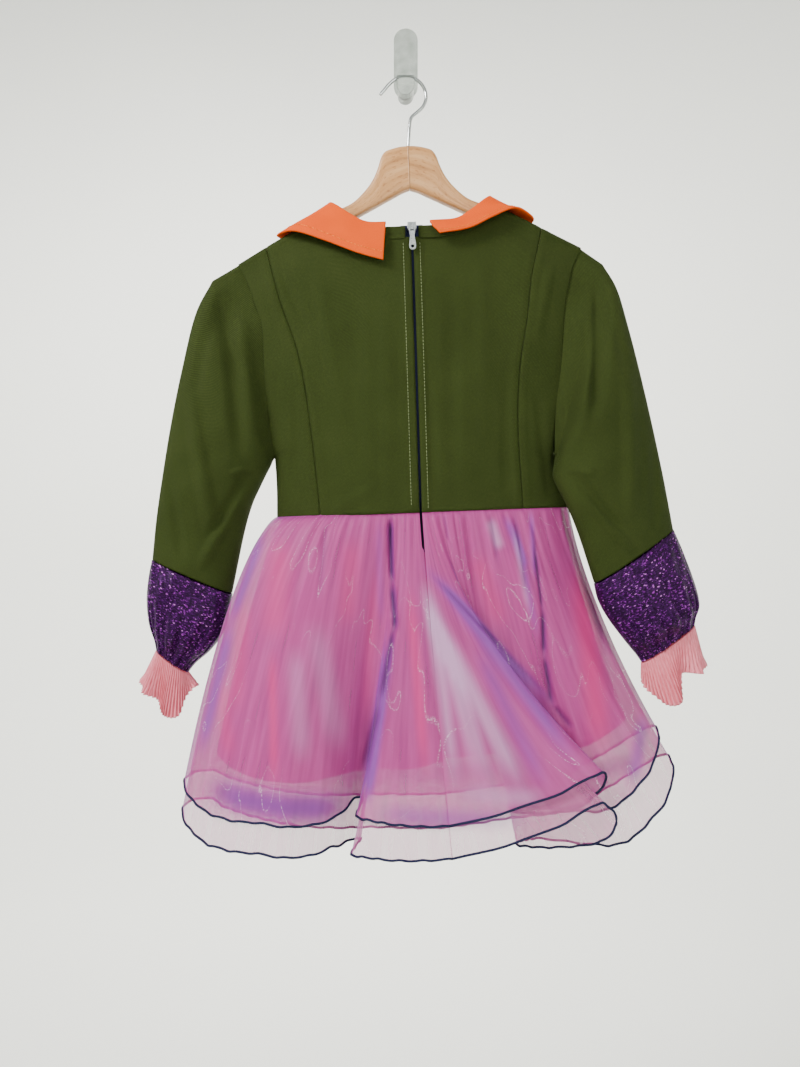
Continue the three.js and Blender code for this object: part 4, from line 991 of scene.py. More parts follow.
# Creases on the viewer's side and the wall side of each sleeve, as in BACK_CREASES
SLEEVE_CREASES = {
    "left": [
        (-176, -215, -160, -380, -3.0, 12), (-190, -230, -176, -400, 2.2, 11),
        (-228, -300, -206, -480, -2.0, 12), (-165, -395, -215, -470, 2.4, 9),
        (-172, -415, -226, -500, -1.8, 9), (-250, -400, -240, -490, 1.4, 9),
        (-205, -250, -222, -330, 1.6, 10), (-160, -400, -190, -405, -1.4, 6),
    ],
    "right": [
        (151, -232, 143, -382, 5.0, 8), (178, -215, 152, -385, -3.4, 10), (194, -225, 166, -370, 2.4, 11),
        (206, -300, 198, -470, -1.8, 12), (140, -415, 190, -480, 2.2, 9), (150, -440, 204, -505, -1.8, 9),
        (228, -390, 222, -480, 1.4, 9), (186, -240, 206, -330, 1.4, 10), (136, -415, 166, -420, -1.4, 6),
    ],
}


def ring_point(ring, a):
    """Point of a flattened ring: from its outer point at a = 0, over the viewer's side at a
    quarter turn, to its inner point at a half turn and back along the wall side."""
    ox, oz, oy, ix, iz, iy, to_viewer, to_wall = ring
    t = (1 - np.cos(a)) / 2
    lift = np.sign(np.sin(a)) * np.abs(np.sin(a)) ** 0.8
    reach = np.where(lift > 0, to_viewer, to_wall)
    return stack(mix(ox, ix, t), mix(oy, iy, t) - reach * lift, mix(oz, iz, t))


def ring_at(rows, k):
    """A ring of the table at row number k."""
    return [through(rows, c)(k) for c in range(1, 9)]


def armhole(side, a):
    """The sleeve's first ring, by its angle: it runs along the edges of the back and front cloth,
    and the right one comes forward as it nears the armpit."""
    s = SIGN[side]
    t = (1 - np.cos(a)) / 2
    z = -mix(TIP[side], PIT[side], t)
    x = s * EDGE[side](-z)
    back, front = back_y(x, z), front_y(x, z)
    share = smooth(np.abs(np.sin(a)) / 0.12)
    y = mix((back + front) / 2, np.where(np.sin(a) > 0, back, front), share)
    low = t**6 if side == "right" else 0 * t
    under = np.where(np.sin(a) > 0, ARMHOLE_UNDER, -ARMHOLE_UNDER) * share
    return stack(x + s * (1.9 * low - ARMHOLE_GAP), y + under - ARMPIT_FORWARD * low, z + 0.6 * t)


def sleeve(side):
    """Rings from the armhole to the cuff's seam, with the head's tuck and hand-placed creases."""
    a = np.linspace(0, 2 * np.pi, 150, endpoint=False)[:, None]
    k = np.linspace(0, 7, 170)[None]
    points = ring_point(ring_at(SLEEVE_RINGS[side], np.maximum(1, k)), a)
    points = mix(armhole(side, a + 0 * k), points, np.clip(k, 0, 1)[..., None])
    x, y, z = points[..., 0], points[..., 1], points[..., 2]
    y = y + TUCK_DEPTH * bump((a - TUCK_ANGLE) / 0.42) * bump((k - TUCK_RING) / 1.1)
    broad = np.abs(np.sin(a)) ** 1.5 * smooth(k / 1.2) * (1 - smooth((k - 6.6) / 0.4))
    facing = np.where(np.sin(a) > 0, 1, -1)
    uneven = SLEEVE_CREASING * creases(x, z, SLEEVE_CREASES[side]) + ripple(x, z, **SLEEVE_RIPPLE)
    return stack(x, y + facing * broad * uneven, z)


def cuff(side):
    """Rings from the sleeve to the wrist, drawn in by elastic: the gathers grow towards the
    wrist, and the knit is crinkled all over."""
    a = np.linspace(0, 2 * np.pi, 220, endpoint=False)[:, None]
    k = np.linspace(0, 5, 70)[None]
    ox, oz, oy, ix, iz, iy, to_viewer, to_wall = ring_at(CUFF_RINGS[side], k)
    grow = smooth((k - 0.6) / 3.4)
    gather = 1 + grow * (0.1 * np.cos(12 * a + 0.6 * k) + 0.06 * np.cos(29 * a + 1.1 * k + 2))
    crinkle = 0.05 * np.sin(5 * a + 2.2 * k) + 0.035 * np.sin(17 * a - 2.9 * k + 1) * np.sin(1.9 * k)
    gather = gather + crinkle
    return ring_point([ox, oz, oy, ix, iz, iy, to_viewer * gather, to_wall * gather], a)


# How far the ruffles' tops lie past the cuffs' last rings: x, z
RUFFLE_DROP = {"left": (-0.4, -1.3), "right": (0.24, -1.4)}
# The ruffles' hems. Columns: share round the wrist, x, y, z
RUFFLE_HEM = {
    "left": [
        (0, -289, -30, -608), (0.1, -284, -50, -616), (0.2, -270, -44, -628), (0.28, -263, -56, -640),
        (0.36, -249, -52, -640), (0.43, -243, -38, -622), (0.5, -236, -30, -613), (0.62, -246, -12, -622),
        (0.75, -264, -7, -624), (0.88, -280, -14, -616), (1, -289, -30, -608),
    ],
    "right": [
        (0, 271, -48, -612), (0.1, 262, -68, -617), (0.2, 243, -64, -618), (0.3, 240, -76, -642),
        (0.38, 224, -74, -644), (0.44, 214, -62, -634), (0.5, 208, -54, -625), (0.62, 222, -40, -630),
        (0.75, 240, -33, -626), (0.88, 258, -36, -618), (1, 271, -48, -612),
    ],
}


def ruffle(side):
    """From the wrist to the hem: sharp pleats pushed in and out across the cloth, growing
    towards the hem, on a hem line that opens in a few flutes."""
    pleats = sizes().pleats
    t = np.linspace(0, 1, pleats * 8, endpoint=False)[:, None]
    j = np.linspace(0, 1, 26)[None]
    wrist = CUFF_RINGS[side][-1][1:]
    start = ring_point(wrist, 2 * np.pi * t)
    drop_x, drop_z = RUFFLE_DROP[side]
    start = start + np.array([drop_x, 0, drop_z])
    hem = loop_at(RUFFLE_HEM[side], t)
    points = mix(start, hem, j[..., None])
    middle_x, middle_y = (wrist[0] + wrist[3]) / 2, (wrist[2] + wrist[5]) / 2
    away = stack(start[..., 0] - middle_x, 2 * (start[..., 1] - middle_y), 0 * t)
    wave = np.abs((t * pleats) % 1 * 2 - 1) * 2 - 1
    height = wave * (0.6 + 1.3 * j) + 0.5 * np.sin(2 * np.pi * (5 * t + 0.3)) * j
    curl = 2.2 * smooth((j - 0.75) / 0.25) * np.sin(2 * np.pi * 9 * t + 1)
    return points + unit(away) * (height * 1.1 + curl)[..., None]


# Skirt. Columns: waist station, hem x, y, z, flare (power of the run outwards with the drop)
OVER_HEM = [
    (0, 9, -107, -741, 1.3), (8, -34, -105, -739.5, 1.35), (14, -61, -100, -735, 1.4),
    (19, -75, -92, -733.5, 1.5), (24, -73, -80, -729, 1.5), (29, -70, -69, -724, 1.3),
    (36, -78, -66, -724, 1.1), (44, -88, -78, -732, 0.95), (54, -105, -92, -737, 0.85),
    (68, -131, -104, -737, 0.78), (86, -168, -102, -732.5, 0.7), (106, -207, -86, -731, 0.62),
    (126, -236, -66, -719, 0.58), (140, -248, -46, -706, 0.58), (148, -240, -34, -702, 0.64),
    (158, -225, -20, -704, 0.7), (176, -212, -9, -715, 0.7), (208, -172, -5, -729, 0.8),
    (240, -120, -12, -736, 0.8), (275, -58, -5, -740, 0.8), (310, 5, -12, -740, 0.8),
    (345, 70, -5, -736, 0.8), (380, 130, -12, -727, 0.9), (412, 180, -6, -706, 1.1),
    (436, 214, -14, -684, 1.3), (444, 225, -28, -675, 1.4), (454, 226, -38, -678, 1.4),
    (464, 224, -47, -690, 1.4), (477, 209, -62, -711, 1.35), (490, 187, -75, -728, 1.2),
    (504, 165, -78, -741, 1.1), (518, 142, -68, -745, 1.0), (534, 105, -62, -742, 1.05),
    (548, 80, -65, -741, 1.15), (556, 76, -73, -741, 1.25), (563, 98, -79, -742, 1.4),
    (571, 134, -83, -737, 1.6), (577, 158, -88, -716, 1.6), (581, 159, -95, -702, 1.6),
    (584, 143, -100, -703.5, 1.6), (586.5, 116, -104, -715, 1.55), (588.5, 86, -106, -724, 1.5),
    (590, 58, -108, -731, 1.4), (592, 10.2, -107.3, -741, 1.3),
]
# How much longer the under layer is than the over one. Columns: waist station, share
UNDER_DROP = through(
    [(0, 0.1), (25, 0.125), (36, 0.15), (50, 0.1), (150, 0.105), (440, 0.12), (592, 0.1)], 1)
# Folds of the organza on the back. Columns: x, z, x, z, strength, half width.
# Deep folds sink between two lobes and are painted dark as painted shade; doubled cloth lies in two or more
# thicknesses and looks lilac; pale cloth hangs clear of the lining and is painted paler as a painted sheen;
# rose cloth lies on the lining.
DEEP_FOLDS_AND_SHADE = [
    (-33, -449, -34, -525, 1.0, 4), (-34, -517, -32, -566, 1.0, 5), (-33, -555, -49, -631, 0.9, 5),
    (-49, -628, -69, -702, 0.6, 5), (108, -484, 113, -558, 0.9, 3), (113, -549, 112, -598, 1.0, 4),
    (112, -592, 118, -646, 1.0, 4), (118, -643, 136, -666, 0.7, 4), (-96, -452, -104, -530, 0.4, 4),
    (-3, -500, 122, -645, 0.55, 3), (66, -452, 72, -505, 0.5, 3), (90, -452, 99, -540, 0.6, 3),
    (150, -470, 178, -600, 0.5, 7), (20, -452, 24, -480, 0.4, 3), (-225, -706, -84, -728, 0.3, 16),
    (150, -706, 196, -700, 0.25, 14),
]
DOUBLED_FOLDS = [
    (-36, -566, -68, -724, 0.9, 10), (-45, -614, -65, -726, 0.6, 8), (-4, -500, 123, -649, 0.8, 8),
    (11, -512, 134, -693, 0.9, 13), (43, -578, 103, -714, 0.6, 12), (-159, -461, -195, -554, 0.9, 9),
    (-192, -545, -227, -679, 0.9, 11), (80, -455, 100, -510, 0.8, 7), (107, -450, 107, -522, 0.8, 5),
    (-221, -706, -79, -728, 0.9, 22), (-62, -729, 88, -740, 0.6, 15), (188, -723, 212, -658, 0.7, 13),
    (89, -459, 107, -581, 0.6, 6), (-44, -452, -46, -560, 0.4, 6), (150, -452, 196, -600, 0.5, 8),
]
# Pale cloth hangs clear of the lining; its pale lilac-grey is also a painted sheen where the cloth catches
# the light
PALE_SHEEN_FOLDS = [
    (-2, -518, 50, -716, 0.8, 12), (-2, -518, 22, -712, 0.7, 10), (6, -553, 82, -715, 0.8, 14),
    (-128, -571, -124, -683, 0.35, 16), (-110, -549, -89, -679, 0.3, 18), (65, -458, 75, -491, 0.7, 9),
    (18, -712, 103, -721, 0.6, 14), (88, -468, 100, -557, 0.4, 5),
]
ROSE_FOLDS = [
    (-151, -575, -150, -701, 0.9, 7), (-17, -520, -9, -700, 0.8, 9), (48, -490, 73, -568, 0.5, 16),
    (153, -504, 162, -695, 0.9, 20), (-204, -600, -195, -680, 0.5, 12), (-49, -501, -66, -658, 0.4, 9),
    (-141, -468, -151, -570, 0.6, 22), (-70, -470, -80, -560, 0.5, 16), (-178, -520, -190, -640, 0.5, 14),
]
# The same on the wall side, where the skirt hangs in shallower and wider folds, and the deep folds are
# painted dark as painted shade
FRONT_DEEP_AND_SHADE = [
    (-120, -452, -150, -620, 0.6, 6), (-70, -452, -84, -700, 0.8, 7), (-22, -460, -30, -640, 0.5, 5),
    (34, -452, 44, -715, 0.9, 8), (82, -470, 108, -700, 0.6, 6), (124, -452, 160, -640, 0.7, 6),
    (-100, -560, -140, -720, 0.5, 8), (4, -560, 8, -725, 0.5, 7),
]
FRONT_DOUBLED = [
    (-62, -470, -70, -710, 0.7, 8), (46, -500, 62, -720, 0.7, 10), (-136, -470, -176, -640, 0.6, 9),
    (112, -500, 150, -680, 0.6, 9), (-150, -716, 150, -722, 0.6, 16),
]
LINING_HEM = [
    (0, 10, -60, -694, 1.2), (14, -24, -66, -699, 1.2), (34, -60, -51, -701, 1.1),
    (50, -94, -62, -703, 1.0), (70, -128, -82, -703, 0.85), (92, -166, -79, -699, 0.75),
    (114, -198, -62, -691, 0.68), (132, -215, -42, -681, 0.65), (150, -208, -28, -676, 0.7),
    (200, -150, -20.5, -692, 0.9), (296, 0, -20.5, -702, 0.9), (392, 130, -20.5, -690, 1.0),
    (436, 186, -24, -668, 1.2), (452, 196, -34, -662, 1.35), (472, 184, -48, -670, 1.35),
    (500, 150, -55, -686, 1.2), (532, 112, -50, -694, 1.1), (564, 96, -50, -694, 1.1),
    (592, 82, -51, -692, 1.2),
]


def waist_point(station, inset):
    """The waist seam by station: mm along it from the zip, the left side first. `inset` is how
    far inside the bodice's edge the point lies at the sides."""
    on_left_back = station < BACK_RUN
    on_right_back = station > FULL_RUN - BACK_RUN
    half = WAIST_HALF - inset
    gap = zip_x(WAIST_Z)
    x = mix(-half, half, (station - BACK_RUN) / (2 * WAIST_HALF))
    x = np.where(on_left_back, mix(gap - ZIP_GAP, -half, station / BACK_RUN), x)
    x = np.where(on_right_back, mix(half, gap + ZIP_GAP, (station - FULL_RUN + BACK_RUN) / BACK_RUN), x)
    sign = np.where(station < FULL_RUN / 2, -1.0, 1.0)
    body = sign * np.minimum(np.abs(x) * WAIST_HALF / half, WAIST_HALF - 0.01)
    y = np.where(on_left_back | on_right_back, back_y(body, WAIST_Z), front_y(body, WAIST_Z))
    return x, mix(y, back_y(sign * WAIST_HALF * 0.999, WAIST_Z), inset / 22)


def skirt_waves(station, v):
    """Height of the organza's waves: 24 gathers at the waist with finer ones between, and soft
    uneven flutes and dents lower down, so that no two folds are alike."""
    top = smooth(v / 0.05) * (1 - smooth(v / 0.45))
    turn = 2 * np.pi * station / FULL_RUN
    gathers = 1.8 * np.abs(np.cos(SKIRT_GATHERS * turn)) + 0.7 * np.sin(71 * turn + 1.3) * np.sin(5 * turn)
    low = smooth((v - 0.15) / 0.6)
    flutes = 0.9 * np.sin(31 * turn + 2.2 * v)
    flutes = flutes + 0.7 * np.sin(53 * turn - 1.7 * v + 2) * np.sin(3 * turn + 1)
    dents = 0.6 * np.sin(19 * turn + 7 * v + 1) * np.sin(9 * v + 4 * turn)
    return gathers * top + low * (flutes + dents)


OVER_AT = [through(OVER_HEM, c) for c in (1, 2, 3, 4)]
LINING_AT = [through(LINING_HEM, c) for c in (1, 2, 3, 4)]


def on_the_back(station):
    """1 on the back of the skirt, easing to 0 round its sides."""
    return smooth(np.maximum(BACK_RUN - station, station - FULL_RUN + BACK_RUN) / 8 + 0.3)


def colour_folds(piece, points, station):
    """Keeps on each point of the organza how much it is doubled, pale, rose and deep in a fold, as one
    colour attribute: the deep share is painted as shade and the pale share as a painted sheen. Cloth that
    turns away from the viewer also looks doubled."""
    x, z = points[..., 0], points[..., 2]
    back = on_the_back(station)
    across = unit(np.cross(np.gradient(points, axis=0), np.gradient(points, axis=1)))
    turned = smooth((0.75 - np.abs(across[..., 1])) / 0.6)
    front = 1 - back
    doubled = back * creases(x, z, DOUBLED_FOLDS) + 0.7 * front * creases(x, z, FRONT_DOUBLED)
    doubled = np.clip(doubled + 0.8 * turned, 0, 1)
    # The pale share is painted pale lilac-grey on the organza as a painted sheen
    pale_sheen, rose = (back * np.clip(creases(x, z, rows), 0, 1) for rows in (PALE_SHEEN_FOLDS, ROSE_FOLDS))
    # How far each point lies in a deep fold, painted dark on the organza as painted shade
    deep = np.clip(back * creases(x, z, DEEP_FOLDS_AND_SHADE) + 0.6 * front * creases(x, z, FRONT_DEEP_AND_SHADE), 0, 1)
    values = np.stack(np.broadcast_arrays(doubled, pale_sheen, rose, deep), -1)
    layer = piece.data.attributes.new("folds", "FLOAT_COLOR", "POINT")
    layer.data.foreach_set("color", values.astype(np.float32).ravel())


def over_point(station, v):
    """The over layer: from the waist seam to the hem, out with the drop to the power of the
    flare, and its waves pushed towards the viewer on the back and to the wall in front."""
    hem_x, hem_y, hem_z, flare = (at(station) for at in OVER_AT)
    waist_x, waist_y = waist_point(station, 0.4)
    run, lift = v**flare, v ** np.minimum(flare, 0.85)
    on_back = (station < BACK_RUN) | (station > FULL_RUN - BACK_RUN)
    wave = skirt_waves(station, v) * smooth(np.minimum(station, FULL_RUN - station) / 6)
    y = mix(waist_y, hem_y, lift) + np.where(on_back, -1, 0.4) * wave
    y = y + np.where(on_back, 1.2, -1.2) * (1 - smooth(v / 0.02))
    x, z = mix(waist_x, hem_x, run), mix(WAIST_Z + 2.5, hem_z, v)
    back = on_the_back(station)
    sink = 4.5 * creases(x, z, DEEP_FOLDS_AND_SHADE) - 1.6 * creases(x, z, DOUBLED_FOLDS)
    rise = 1.5 * creases(x, z, FRONT_DOUBLED) - 4.5 * creases(x, z, FRONT_DEEP_AND_SHADE)
    return stack(x, y + smooth(v / 0.06) * (back * sink + (1 - back) * rise), z)


def under_point(station, v):
    """The under layer: the over layer's form pushed 2 to 3.8 mm inwards along its own normal."""
    step = 1.5
    before = over_point(np.maximum(0, station - step), np.maximum(0.02, v))
    after = over_point(np.minimum(FULL_RUN, station + step), np.maximum(0.02, v))
    here = over_point(station, v)
    normal = unit(np.cross(after - before, over_point(station, v + 0.02) - here))
    flap = bump((station - 566) / 34)
    inset = mix(2, 3.8, smooth((np.minimum(v, 1) - 0.55 * flap) / 0.3))
    pull = 24 * bump((station - 582) / 11) * smooth((np.minimum(v, 1) - 0.12) / 0.5)
    points = here - normal * inset[..., None]
    return stack(points[..., 0] - pull, points[..., 1], points[..., 2])


def layer_stations():
    """Stations along the waist, closer together where the flap turns back on itself."""
    at_zip, at_side = np.arange(0, 30, 0.5), np.arange(30, 540, 1.6)
    at_flap = np.arange(540, FULL_RUN, 0.5)
    return np.concatenate([at_zip, at_side, at_flap, [FULL_RUN]])[:, None]


def closed_below_zip(points, station):
    """The centre back seam: below the zip the left edge laps 2 mm over the right one."""
    lap = (1 - smooth(station / 1.0)) * smooth((ZIP_END_Z - points[..., 2]) / 4)
    return points + lap[..., None] * np.array([2.0, 0.8, 0])


def over_layer():
    """The outer organza."""
    station = layer_stations()
    return closed_below_zip(over_point(station, np.linspace(0, 1, 120)[None] ** 1.1), station)


def under_layer():
    """The inner organza, cut longer than the outer one."""
    station = layer_stations()
    v = np.linspace(0, 1, 110)[None] ** 1.1 * (1 + UNDER_DROP(station))
    return closed_below_zip(under_point(station, v), station)


def lining():
    """The satin lining, plainer and shorter, and open below the zip."""
    station = np.linspace(0, FULL_RUN, 260)[:, None]
    v = np.linspace(0, 1, 60)[None]
    hem_x, hem_y, hem_z, flare = (at(station) for at in LINING_AT)
    waist_x, waist_y = waist_point(station, 7)
    run = v**flare
    soft = 0.66 * np.sin(2 * np.pi * station / 37 + 1) * smooth(v / 0.3)
    y = mix(waist_y, hem_y, run) + soft
    return stack(mix(waist_x, hem_x, run), y, mix(WAIST_Z + 1, hem_z, v))


def tape_y(z):
    """Depth of the zip tape, just behind the back's cloth and stepping in under the skirt."""
    return back_y(0 * z, z) + 1.9 + 8.6 * smooth((WAIST_Z + 14 - z) / 13)


# Hanger. Columns: |x|, top z, underside z, half thickness
ARM = [
    (0.15, -78.4, -121.8, 7), (8, -78.8, -124.5, 7), (17, -80.6, -129, 7), (24, -83.4, -132.4, 7),
    (28, -89, -134.2, 7), (31, -98, -135.8, 6.8), (36, -109, -138.2, 6.6), (44, -120, -142, 6.4),
    (58, -132.5, -148.6, 6), (76, -139.5, -157, 5.5), (90, -143.8, -163, 5.4), (115, -155.9, -174, 6),
    (135, -166.1, -182.5, 6), (150, -173.8, -189, 5.4), (157, -178.5, -190.5, 4.2),
    (160, -182.5, -189.5, 2.4),
]
WIRE_PATH = [
    (3.2, -27, -77.7), (3.9, -27, -68), (4.6, -26, -57), (6.4, -25, -47.5), (12.5, -23.5, -41),
    (18.5, -22.2, -34.5), (21.6, -21.3, -25.5), (20, -21, -16), (13.5, -21, -7.6), (2.5, -21, -3.4),
    (-8, -21, -5.2), (-16, -21, -11), (-21.5, -21, -17.5), (-25.9, -21, -22.6),
]


def hanger_arm(side):
    """A sawn arm with its edges rounded over: sections that are nearly rectangles, a circle with
    its cosine and sine raised to a low power."""
    s = SIGN[side]
    near, middle, tip = np.linspace(0.15, 60, 60), np.linspace(61, 157, 60), np.linspace(157.5, 160, 6)
    x = np.concatenate([near, middle, tip])[None]
    top, low, half = (through(ARM, c)(x) for c in (1, 2, 3))
    a = np.linspace(0, 2 * np.pi, 40, endpoint=False)[:, None]
    wide = np.sign(np.cos(a)) * np.abs(np.cos(a)) ** 0.45
    tall = np.sign(np.sin(a)) * np.abs(np.sin(a)) ** 0.45
    return stack(s * x, hanger_y(x) + half * wide, (top + low) / 2 + (top - low) / 2 * tall)


def smooth_path(points, count):
    """A smooth line through the given points."""
    rows = [(i, *p) for i, p in enumerate(points)]
    return loop_at(rows, np.linspace(0, len(points) - 1, count))


def row_path(points, j):
    """One row of a grid of cloth as a path, with the directions across the cloth along it."""
    across = np.cross(np.gradient(points, axis=0), np.gradient(points, axis=1))
    return points[:, j], unit(across[:, j])


class MakeBodice(bpy.types.Operator):
    """Makes the green back, side and front panels and the two rows of topstitching by the zip"""

    bl_idname = "costume.make_bodice"
    bl_label = "Bodice panels"

    def execute(self, context):
        thick = sizes().cloth
        for side in SIDES:
            centre = outwards(centre_back(side), (0, -1, 0))
            piece = surface(f"back_cloth_{side}", centre, finish_of("twill"), thick=thick)
            carried(piece, node=f"back_panel_{side}")
            z = np.linspace(-181, WAIST_Z + 1, 300)
            x = zip_x(z) + SIGN[side] * STITCH_FROM_ZIP[side]
            y = back_y(x, z) + ripple(x, z, **BACK_RIPPLE) - PLACKET_RISE - thick / 2
            out = np.broadcast_to([0, -1.0, 0], (len(z), 3))
            row = stitches(f"zip_topstitch_{side}", stack(x, y, z), out, finish_of("green_thread"))
            carried(row)
            panel = outwards(side_back(side), (0, -1, 0))
            piece = surface(f"side_cloth_{side}", panel, finish_of("twill"), thick=thick)
            carried(piece, node=f"side_panel_{side}")
        piece = surface("front_cloth", outwards(front_cloth(), (0, 1, 0)), finish_of("twill"), thick=thick)
        carried(piece, node="front_panel")
        return {"FINISHED"}


class MakeCollar(bpy.types.Operator):
    """Makes the neck band and the two collar halves with their edge stitching"""

    bl_idname = "costume.make_collar"
    bl_label = "Neck band and collar"

    def execute(self, context):
        band = neck_band()
        band = outwards(band, band - NECK_MIDDLE)
        piece = surface("neck_band_cloth", band, finish_of("twill"), thick=sizes().cloth)
        carried(piece, node="neck_band")
        for side in SIDES:
            half = collar_half(side)
            half = outwards(half, half - NECK_MIDDLE)
            piece = surface(f"collar_cloth_{side}", half, finish_of("collar"), thick=sizes().collar)
            carried(piece, node=f"collar_{side}")
            inner, out = row_path(half, half.shape[1] - 8)
            top = inner + out * sizes().collar / 2
            row = stitches(f"collar_stitch_{side}", top, out, finish_of("orange_thread"))
            carried(row)
        return {"FINISHED"}


class MakeSleeves(bpy.types.Operator):
    """Makes the two green sleeves, from the armhole to the cuff seam"""

    bl_idname = "costume.make_sleeves"
    bl_label = "Sleeves"

    def execute(self, context):
        for side in SIDES:
            cloth = sleeve(side)
            cloth = outwards(cloth, from_middle(cloth))
            piece = surface(f"sleeve_cloth_{side}", cloth, finish_of("twill"), closed=True,
                            thick=sizes().cloth)
            carried(piece, node=f"sleeve_{side}")
        return {"FINISHED"}


class MakeCuffs(bpy.types.Operator):
    """Makes the gathered purple cuffs and the pleated pink wrist ruffles"""

    bl_idname = "costume.make_cuffs"
    bl_label = "Cuffs and ruffles"

    def execute(self, context):
        for side in SIDES:
            knit = cuff(side)
            knit = outwards(knit, from_middle(knit))
            piece = surface(f"cuff_knit_{side}", knit, finish_of("lurex"), closed=True,
                            thick=sizes().cuff)
            carried(piece, node=f"cuff_{side}")
            frill = ruffle(side)
            frill = outwards(frill, from_middle(frill))
            piece = surface(f"ruffle_satin_{side}", frill, finish_of("plisse"), closed=True,
                            thick=sizes().ruffle)
            carried(piece, node=f"ruffle_{side}")
        return {"FINISHED"}


class MakeSkirt(bpy.types.Operator):
    """Makes the two organza layers with their navy rolled hems, and the satin lining"""

    bl_idname = "costume.make_skirt"
    bl_label = "Skirt"

    def execute(self, context):
        layers = (
            ("organza_over", over_layer(), "over", (0.95, 0.3), 0.262),
            ("organza_under", under_layer(), "under", (0.95, 0.33), 0.295),
        )
        for name, grid, finish, flat, area in layers:
            points = outwards(grid, grid - SKIRT_MIDDLE)
            station = layer_stations()
            if not np.allclose(points[0], grid[0]):
                station = station[::-1]
            piece = surface(f"{name}_cloth", points, finish_of(finish))
            colour_folds(piece, points, station)
            carried(piece, node=name)
            path = points[:, -1]
            along = np.arange(len(path))
            path = path + stack(0 * along, 0.35 * np.sin(along * 1.7), 0.5 * np.sin(along * 0.9))
            hem = tube(f"{name}_hem", path, sizes().hem_roll, finish_of("hem_thread"))
            carried(hem)
        cloth = lining()
        cloth = outwards(cloth, cloth - SKIRT_MIDDLE)
        piece = surface("lining_satin", cloth, finish_of("lining"), thick=0.3)
        carried(piece, node="skirt_lining")
        return {"FINISHED"}


class MakeZip(bpy.types.Operator):
    """Makes the zip's tape and coil, and gives the slider and pull tab their finish"""

    bl_idname = "costume.make_zip"
    bl_label = "Zip"

    def execute(self, context):
        z = np.linspace(ZIP_TOP_Z + 1, ZIP_END_Z - 6, 160)[:, None]
        across = np.linspace(-TAPE_HALF, TAPE_HALF, 16)[None]
        tape = outwards(stack(zip_x(z) + across, tape_y(z) + 0 * across, z + 0 * across), (0, -1, 0))
        piece = surface("zip_tape_cloth", tape, finish_of("tape"), thick=0.7)
        carried(piece, node="zip_tape")
        t = np.linspace(0, 1, COIL_TURNS * 9)
        along = mix(ZIP_TOP_Z, ZIP_END_Z - 4, t)
        turn = 2 * np.pi * COIL_TURNS * t
        middle = tape_y(along) - 1.0
        path = stack(zip_x(along) + 1.15 * np.cos(turn), middle + 0.45 * np.sin(turn), along)
        coil = tube("zip_coil", path, 0.3, finish_of("tape"), sides=5, up=(0.3, 0.9, 0.2))
        carried(coil)
        for node in ("zip_slider", "zip_pull_tab"):
            for part in NODES[node].material_slots:
                part.material = finish_of("metal")
        return {"FINISHED"}


class MakeHanger(bpy.types.Operator):
    """Makes the wooden arms and the wire hook, and gives the wall hook its clear plastic"""

    bl_idname = "costume.make_hanger"
    bl_label = "Hanger and wall hook"

    def execute(self, context):
        for side in SIDES:
            wood = hanger_arm(side)
            wood = outwards(wood, from_middle(wood))
            piece = surface(f"hanger_wood_{side}", wood, finish_of("wood"), closed=True)
            cap_ends(piece, wood.shape[0], wood.shape[1])
            carried(piece, node=f"hanger_arm_{side}")
        path = smooth_path(WIRE_PATH, 220)
        share = np.linspace(0, 1, 220)
        radius = 1.7 * np.sqrt(np.clip((1 - share) / 0.012, 0.02, 1))
        wire = tube("hook_wire", path, radius, finish_of("wire"), sides=18, up=(0, 1, 0), straight=True)
        carried(wire, node="hanger_hook_wire")
        for part in NODES["wall_hook"].material_slots:
            part.material = finish_of("plastic")
        return {"FINISHED"}


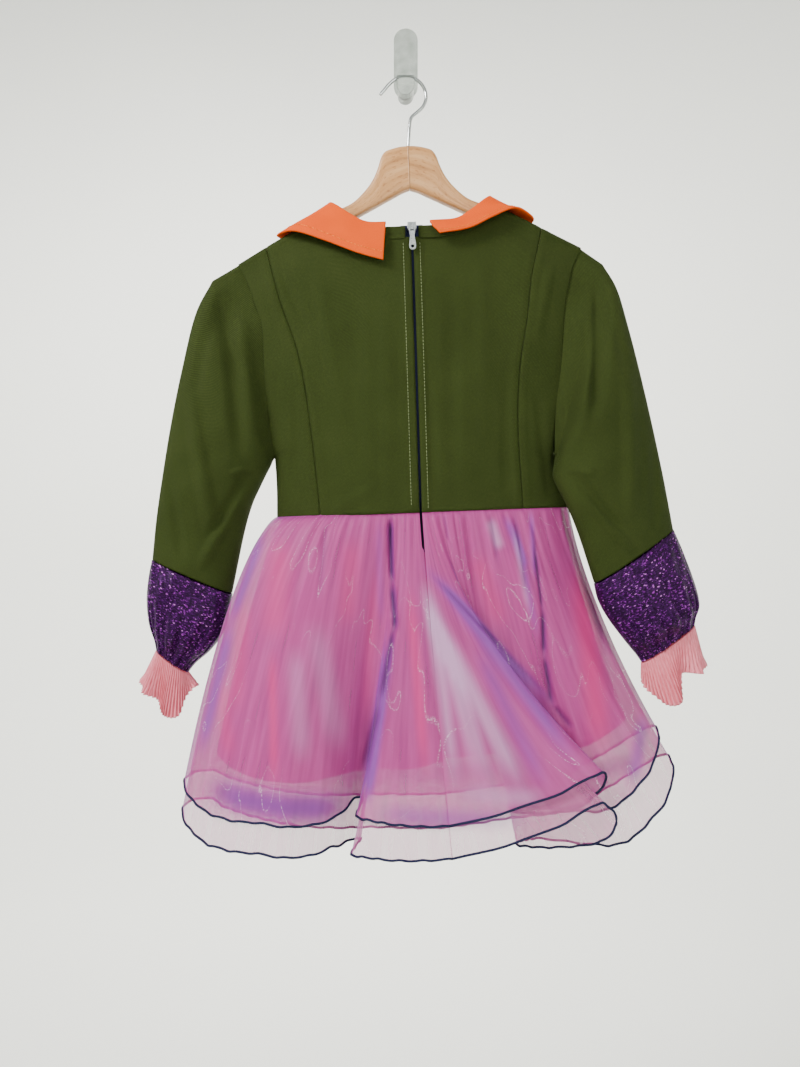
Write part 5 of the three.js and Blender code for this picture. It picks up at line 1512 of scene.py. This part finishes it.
class MakeStage(bpy.types.Operator):
    """Makes the plain pale room, the soft lamps and the camera at the photograph's angle"""

    bl_idname = "costume.make_stage"
    bl_label = "Stage"

    def execute(self, context):
        stage = context.scene.costume_stage
        cove = 1200.0
        radius, floor = stage.radius * 1000, stage.floor_z * 1000
        bend = np.linspace(0, np.pi / 2, 24)
        across = np.concatenate([[1.0, radius - cove - 600], radius - cove + cove * np.sin(bend), [radius]])
        wall = floor + cove * (1 - np.cos(bend))
        height = np.concatenate([[floor, floor], wall, [floor + stage.height * 1000]])
        turn = np.linspace(0, 2 * np.pi, 96, endpoint=False)[:, None]
        room = stack(across[None] * np.cos(turn), across[None] * np.sin(turn), height[None] + 0 * turn)
        room = outwards(room, np.array([0, 0, floor + 1500]) - room)
        surface("room", room, finish_of("paint"), closed=True, straight=True)
        # Name, place, size, power and the point that each lamp looks at
        lamps = (
            ("key_lamp", (-1.5, -1.15, 0.95), 0.8, stage.key_power, (0, 0, -0.4)),
            ("fill_lamp", (0.9, -2.2, 0.1), 1.6, stage.fill_power, (0, 0, -0.45)),
            ("wall_lamp", (-0.3, 1.2, 0.9), 1.6, stage.wall_power, (0, 3.6, -0.7)),
        )
        for name, place, size, power, aim in lamps:
            data = bpy.data.lights.new(name, "AREA")
            data.shape = "DISK"
            data.size = size
            data.energy = power
            data.color = (1.0, 0.985, 0.96)
            lamp = bpy.data.objects.new(name, data)
            lamp.location = place
            look = np.array(aim) - np.array(place)
            tilt = math.atan2(math.hypot(look[0], look[1]), -look[2])
            lamp.rotation_euler = (tilt, 0, math.atan2(look[1], look[0]) - math.pi / 2)
            lamp.visible_camera = False
            context.scene.collection.objects.link(lamp)
        world = bpy.data.worlds.new("soft_daylight")
        world.use_nodes = True
        sky = world.node_tree.nodes["Background"]
        sky.inputs["Color"].default_value = linear("#e6e8ea")
        sky.inputs["Strength"].default_value = 0.8
        context.scene.world = world
        lens = bpy.data.cameras.new("camera")
        lens.sensor_width = SENSOR_MM
        lens.lens = SENSOR_MM / 2 / math.tan(math.radians(VIEW_ANGLE_DEG / 2))
        camera = bpy.data.objects.new("camera", lens)
        camera.location = CAMERA_PLACE
        camera.rotation_euler = (math.pi / 2, 0, 0)
        context.scene.collection.objects.link(camera)
        context.scene.camera = camera
        return {"FINISHED"}


class CostumePanel(bpy.types.Panel):
    """Sidebar panel with the costume's sizes, colours and steps"""

    bl_idname = "VIEW3D_PT_costume"
    bl_label = "Costume"
    bl_space_type = "VIEW_3D"
    bl_region_type = "UI"
    bl_category = "Costume"

    def draw(self, context):
        scene = context.scene
        for settings in (scene.costume_sizes, scene.costume_colours, scene.costume_stage):
            box = self.layout.box()
            for name in settings.__annotations__:
                box.prop(settings, name)
        for step in STEPS:
            self.layout.operator(step.bl_idname)


STEPS = (MakeStage, MakeHanger, MakeBodice, MakeCollar, MakeSleeves, MakeCuffs, MakeSkirt, MakeZip)
CLASSES = (CostumeSizes, CostumeColours, CostumeStage) + STEPS + (CostumePanel,)


def register():
    """Registers the classes and hangs the settings on the scene."""
    for item in CLASSES:
        bpy.utils.register_class(item)
    bpy.types.Scene.costume_sizes = PointerProperty(type=CostumeSizes)
    bpy.types.Scene.costume_colours = PointerProperty(type=CostumeColours)
    bpy.types.Scene.costume_stage = PointerProperty(type=CostumeStage)


def unregister():
    """Takes the settings and classes away again."""
    del bpy.types.Scene.costume_stage
    del bpy.types.Scene.costume_colours
    del bpy.types.Scene.costume_sizes
    for item in reversed(CLASSES):
        bpy.utils.unregister_class(item)


def main():
    register()
    steps = (
        bpy.ops.costume.make_stage,
        bpy.ops.costume.make_hanger,
        bpy.ops.costume.make_bodice,
        bpy.ops.costume.make_collar,
        bpy.ops.costume.make_sleeves,
        bpy.ops.costume.make_cuffs,
        bpy.ops.costume.make_skirt,
        bpy.ops.costume.make_zip,
    )
    for make in steps:
        make()


if __name__ == "__main__":
    main()
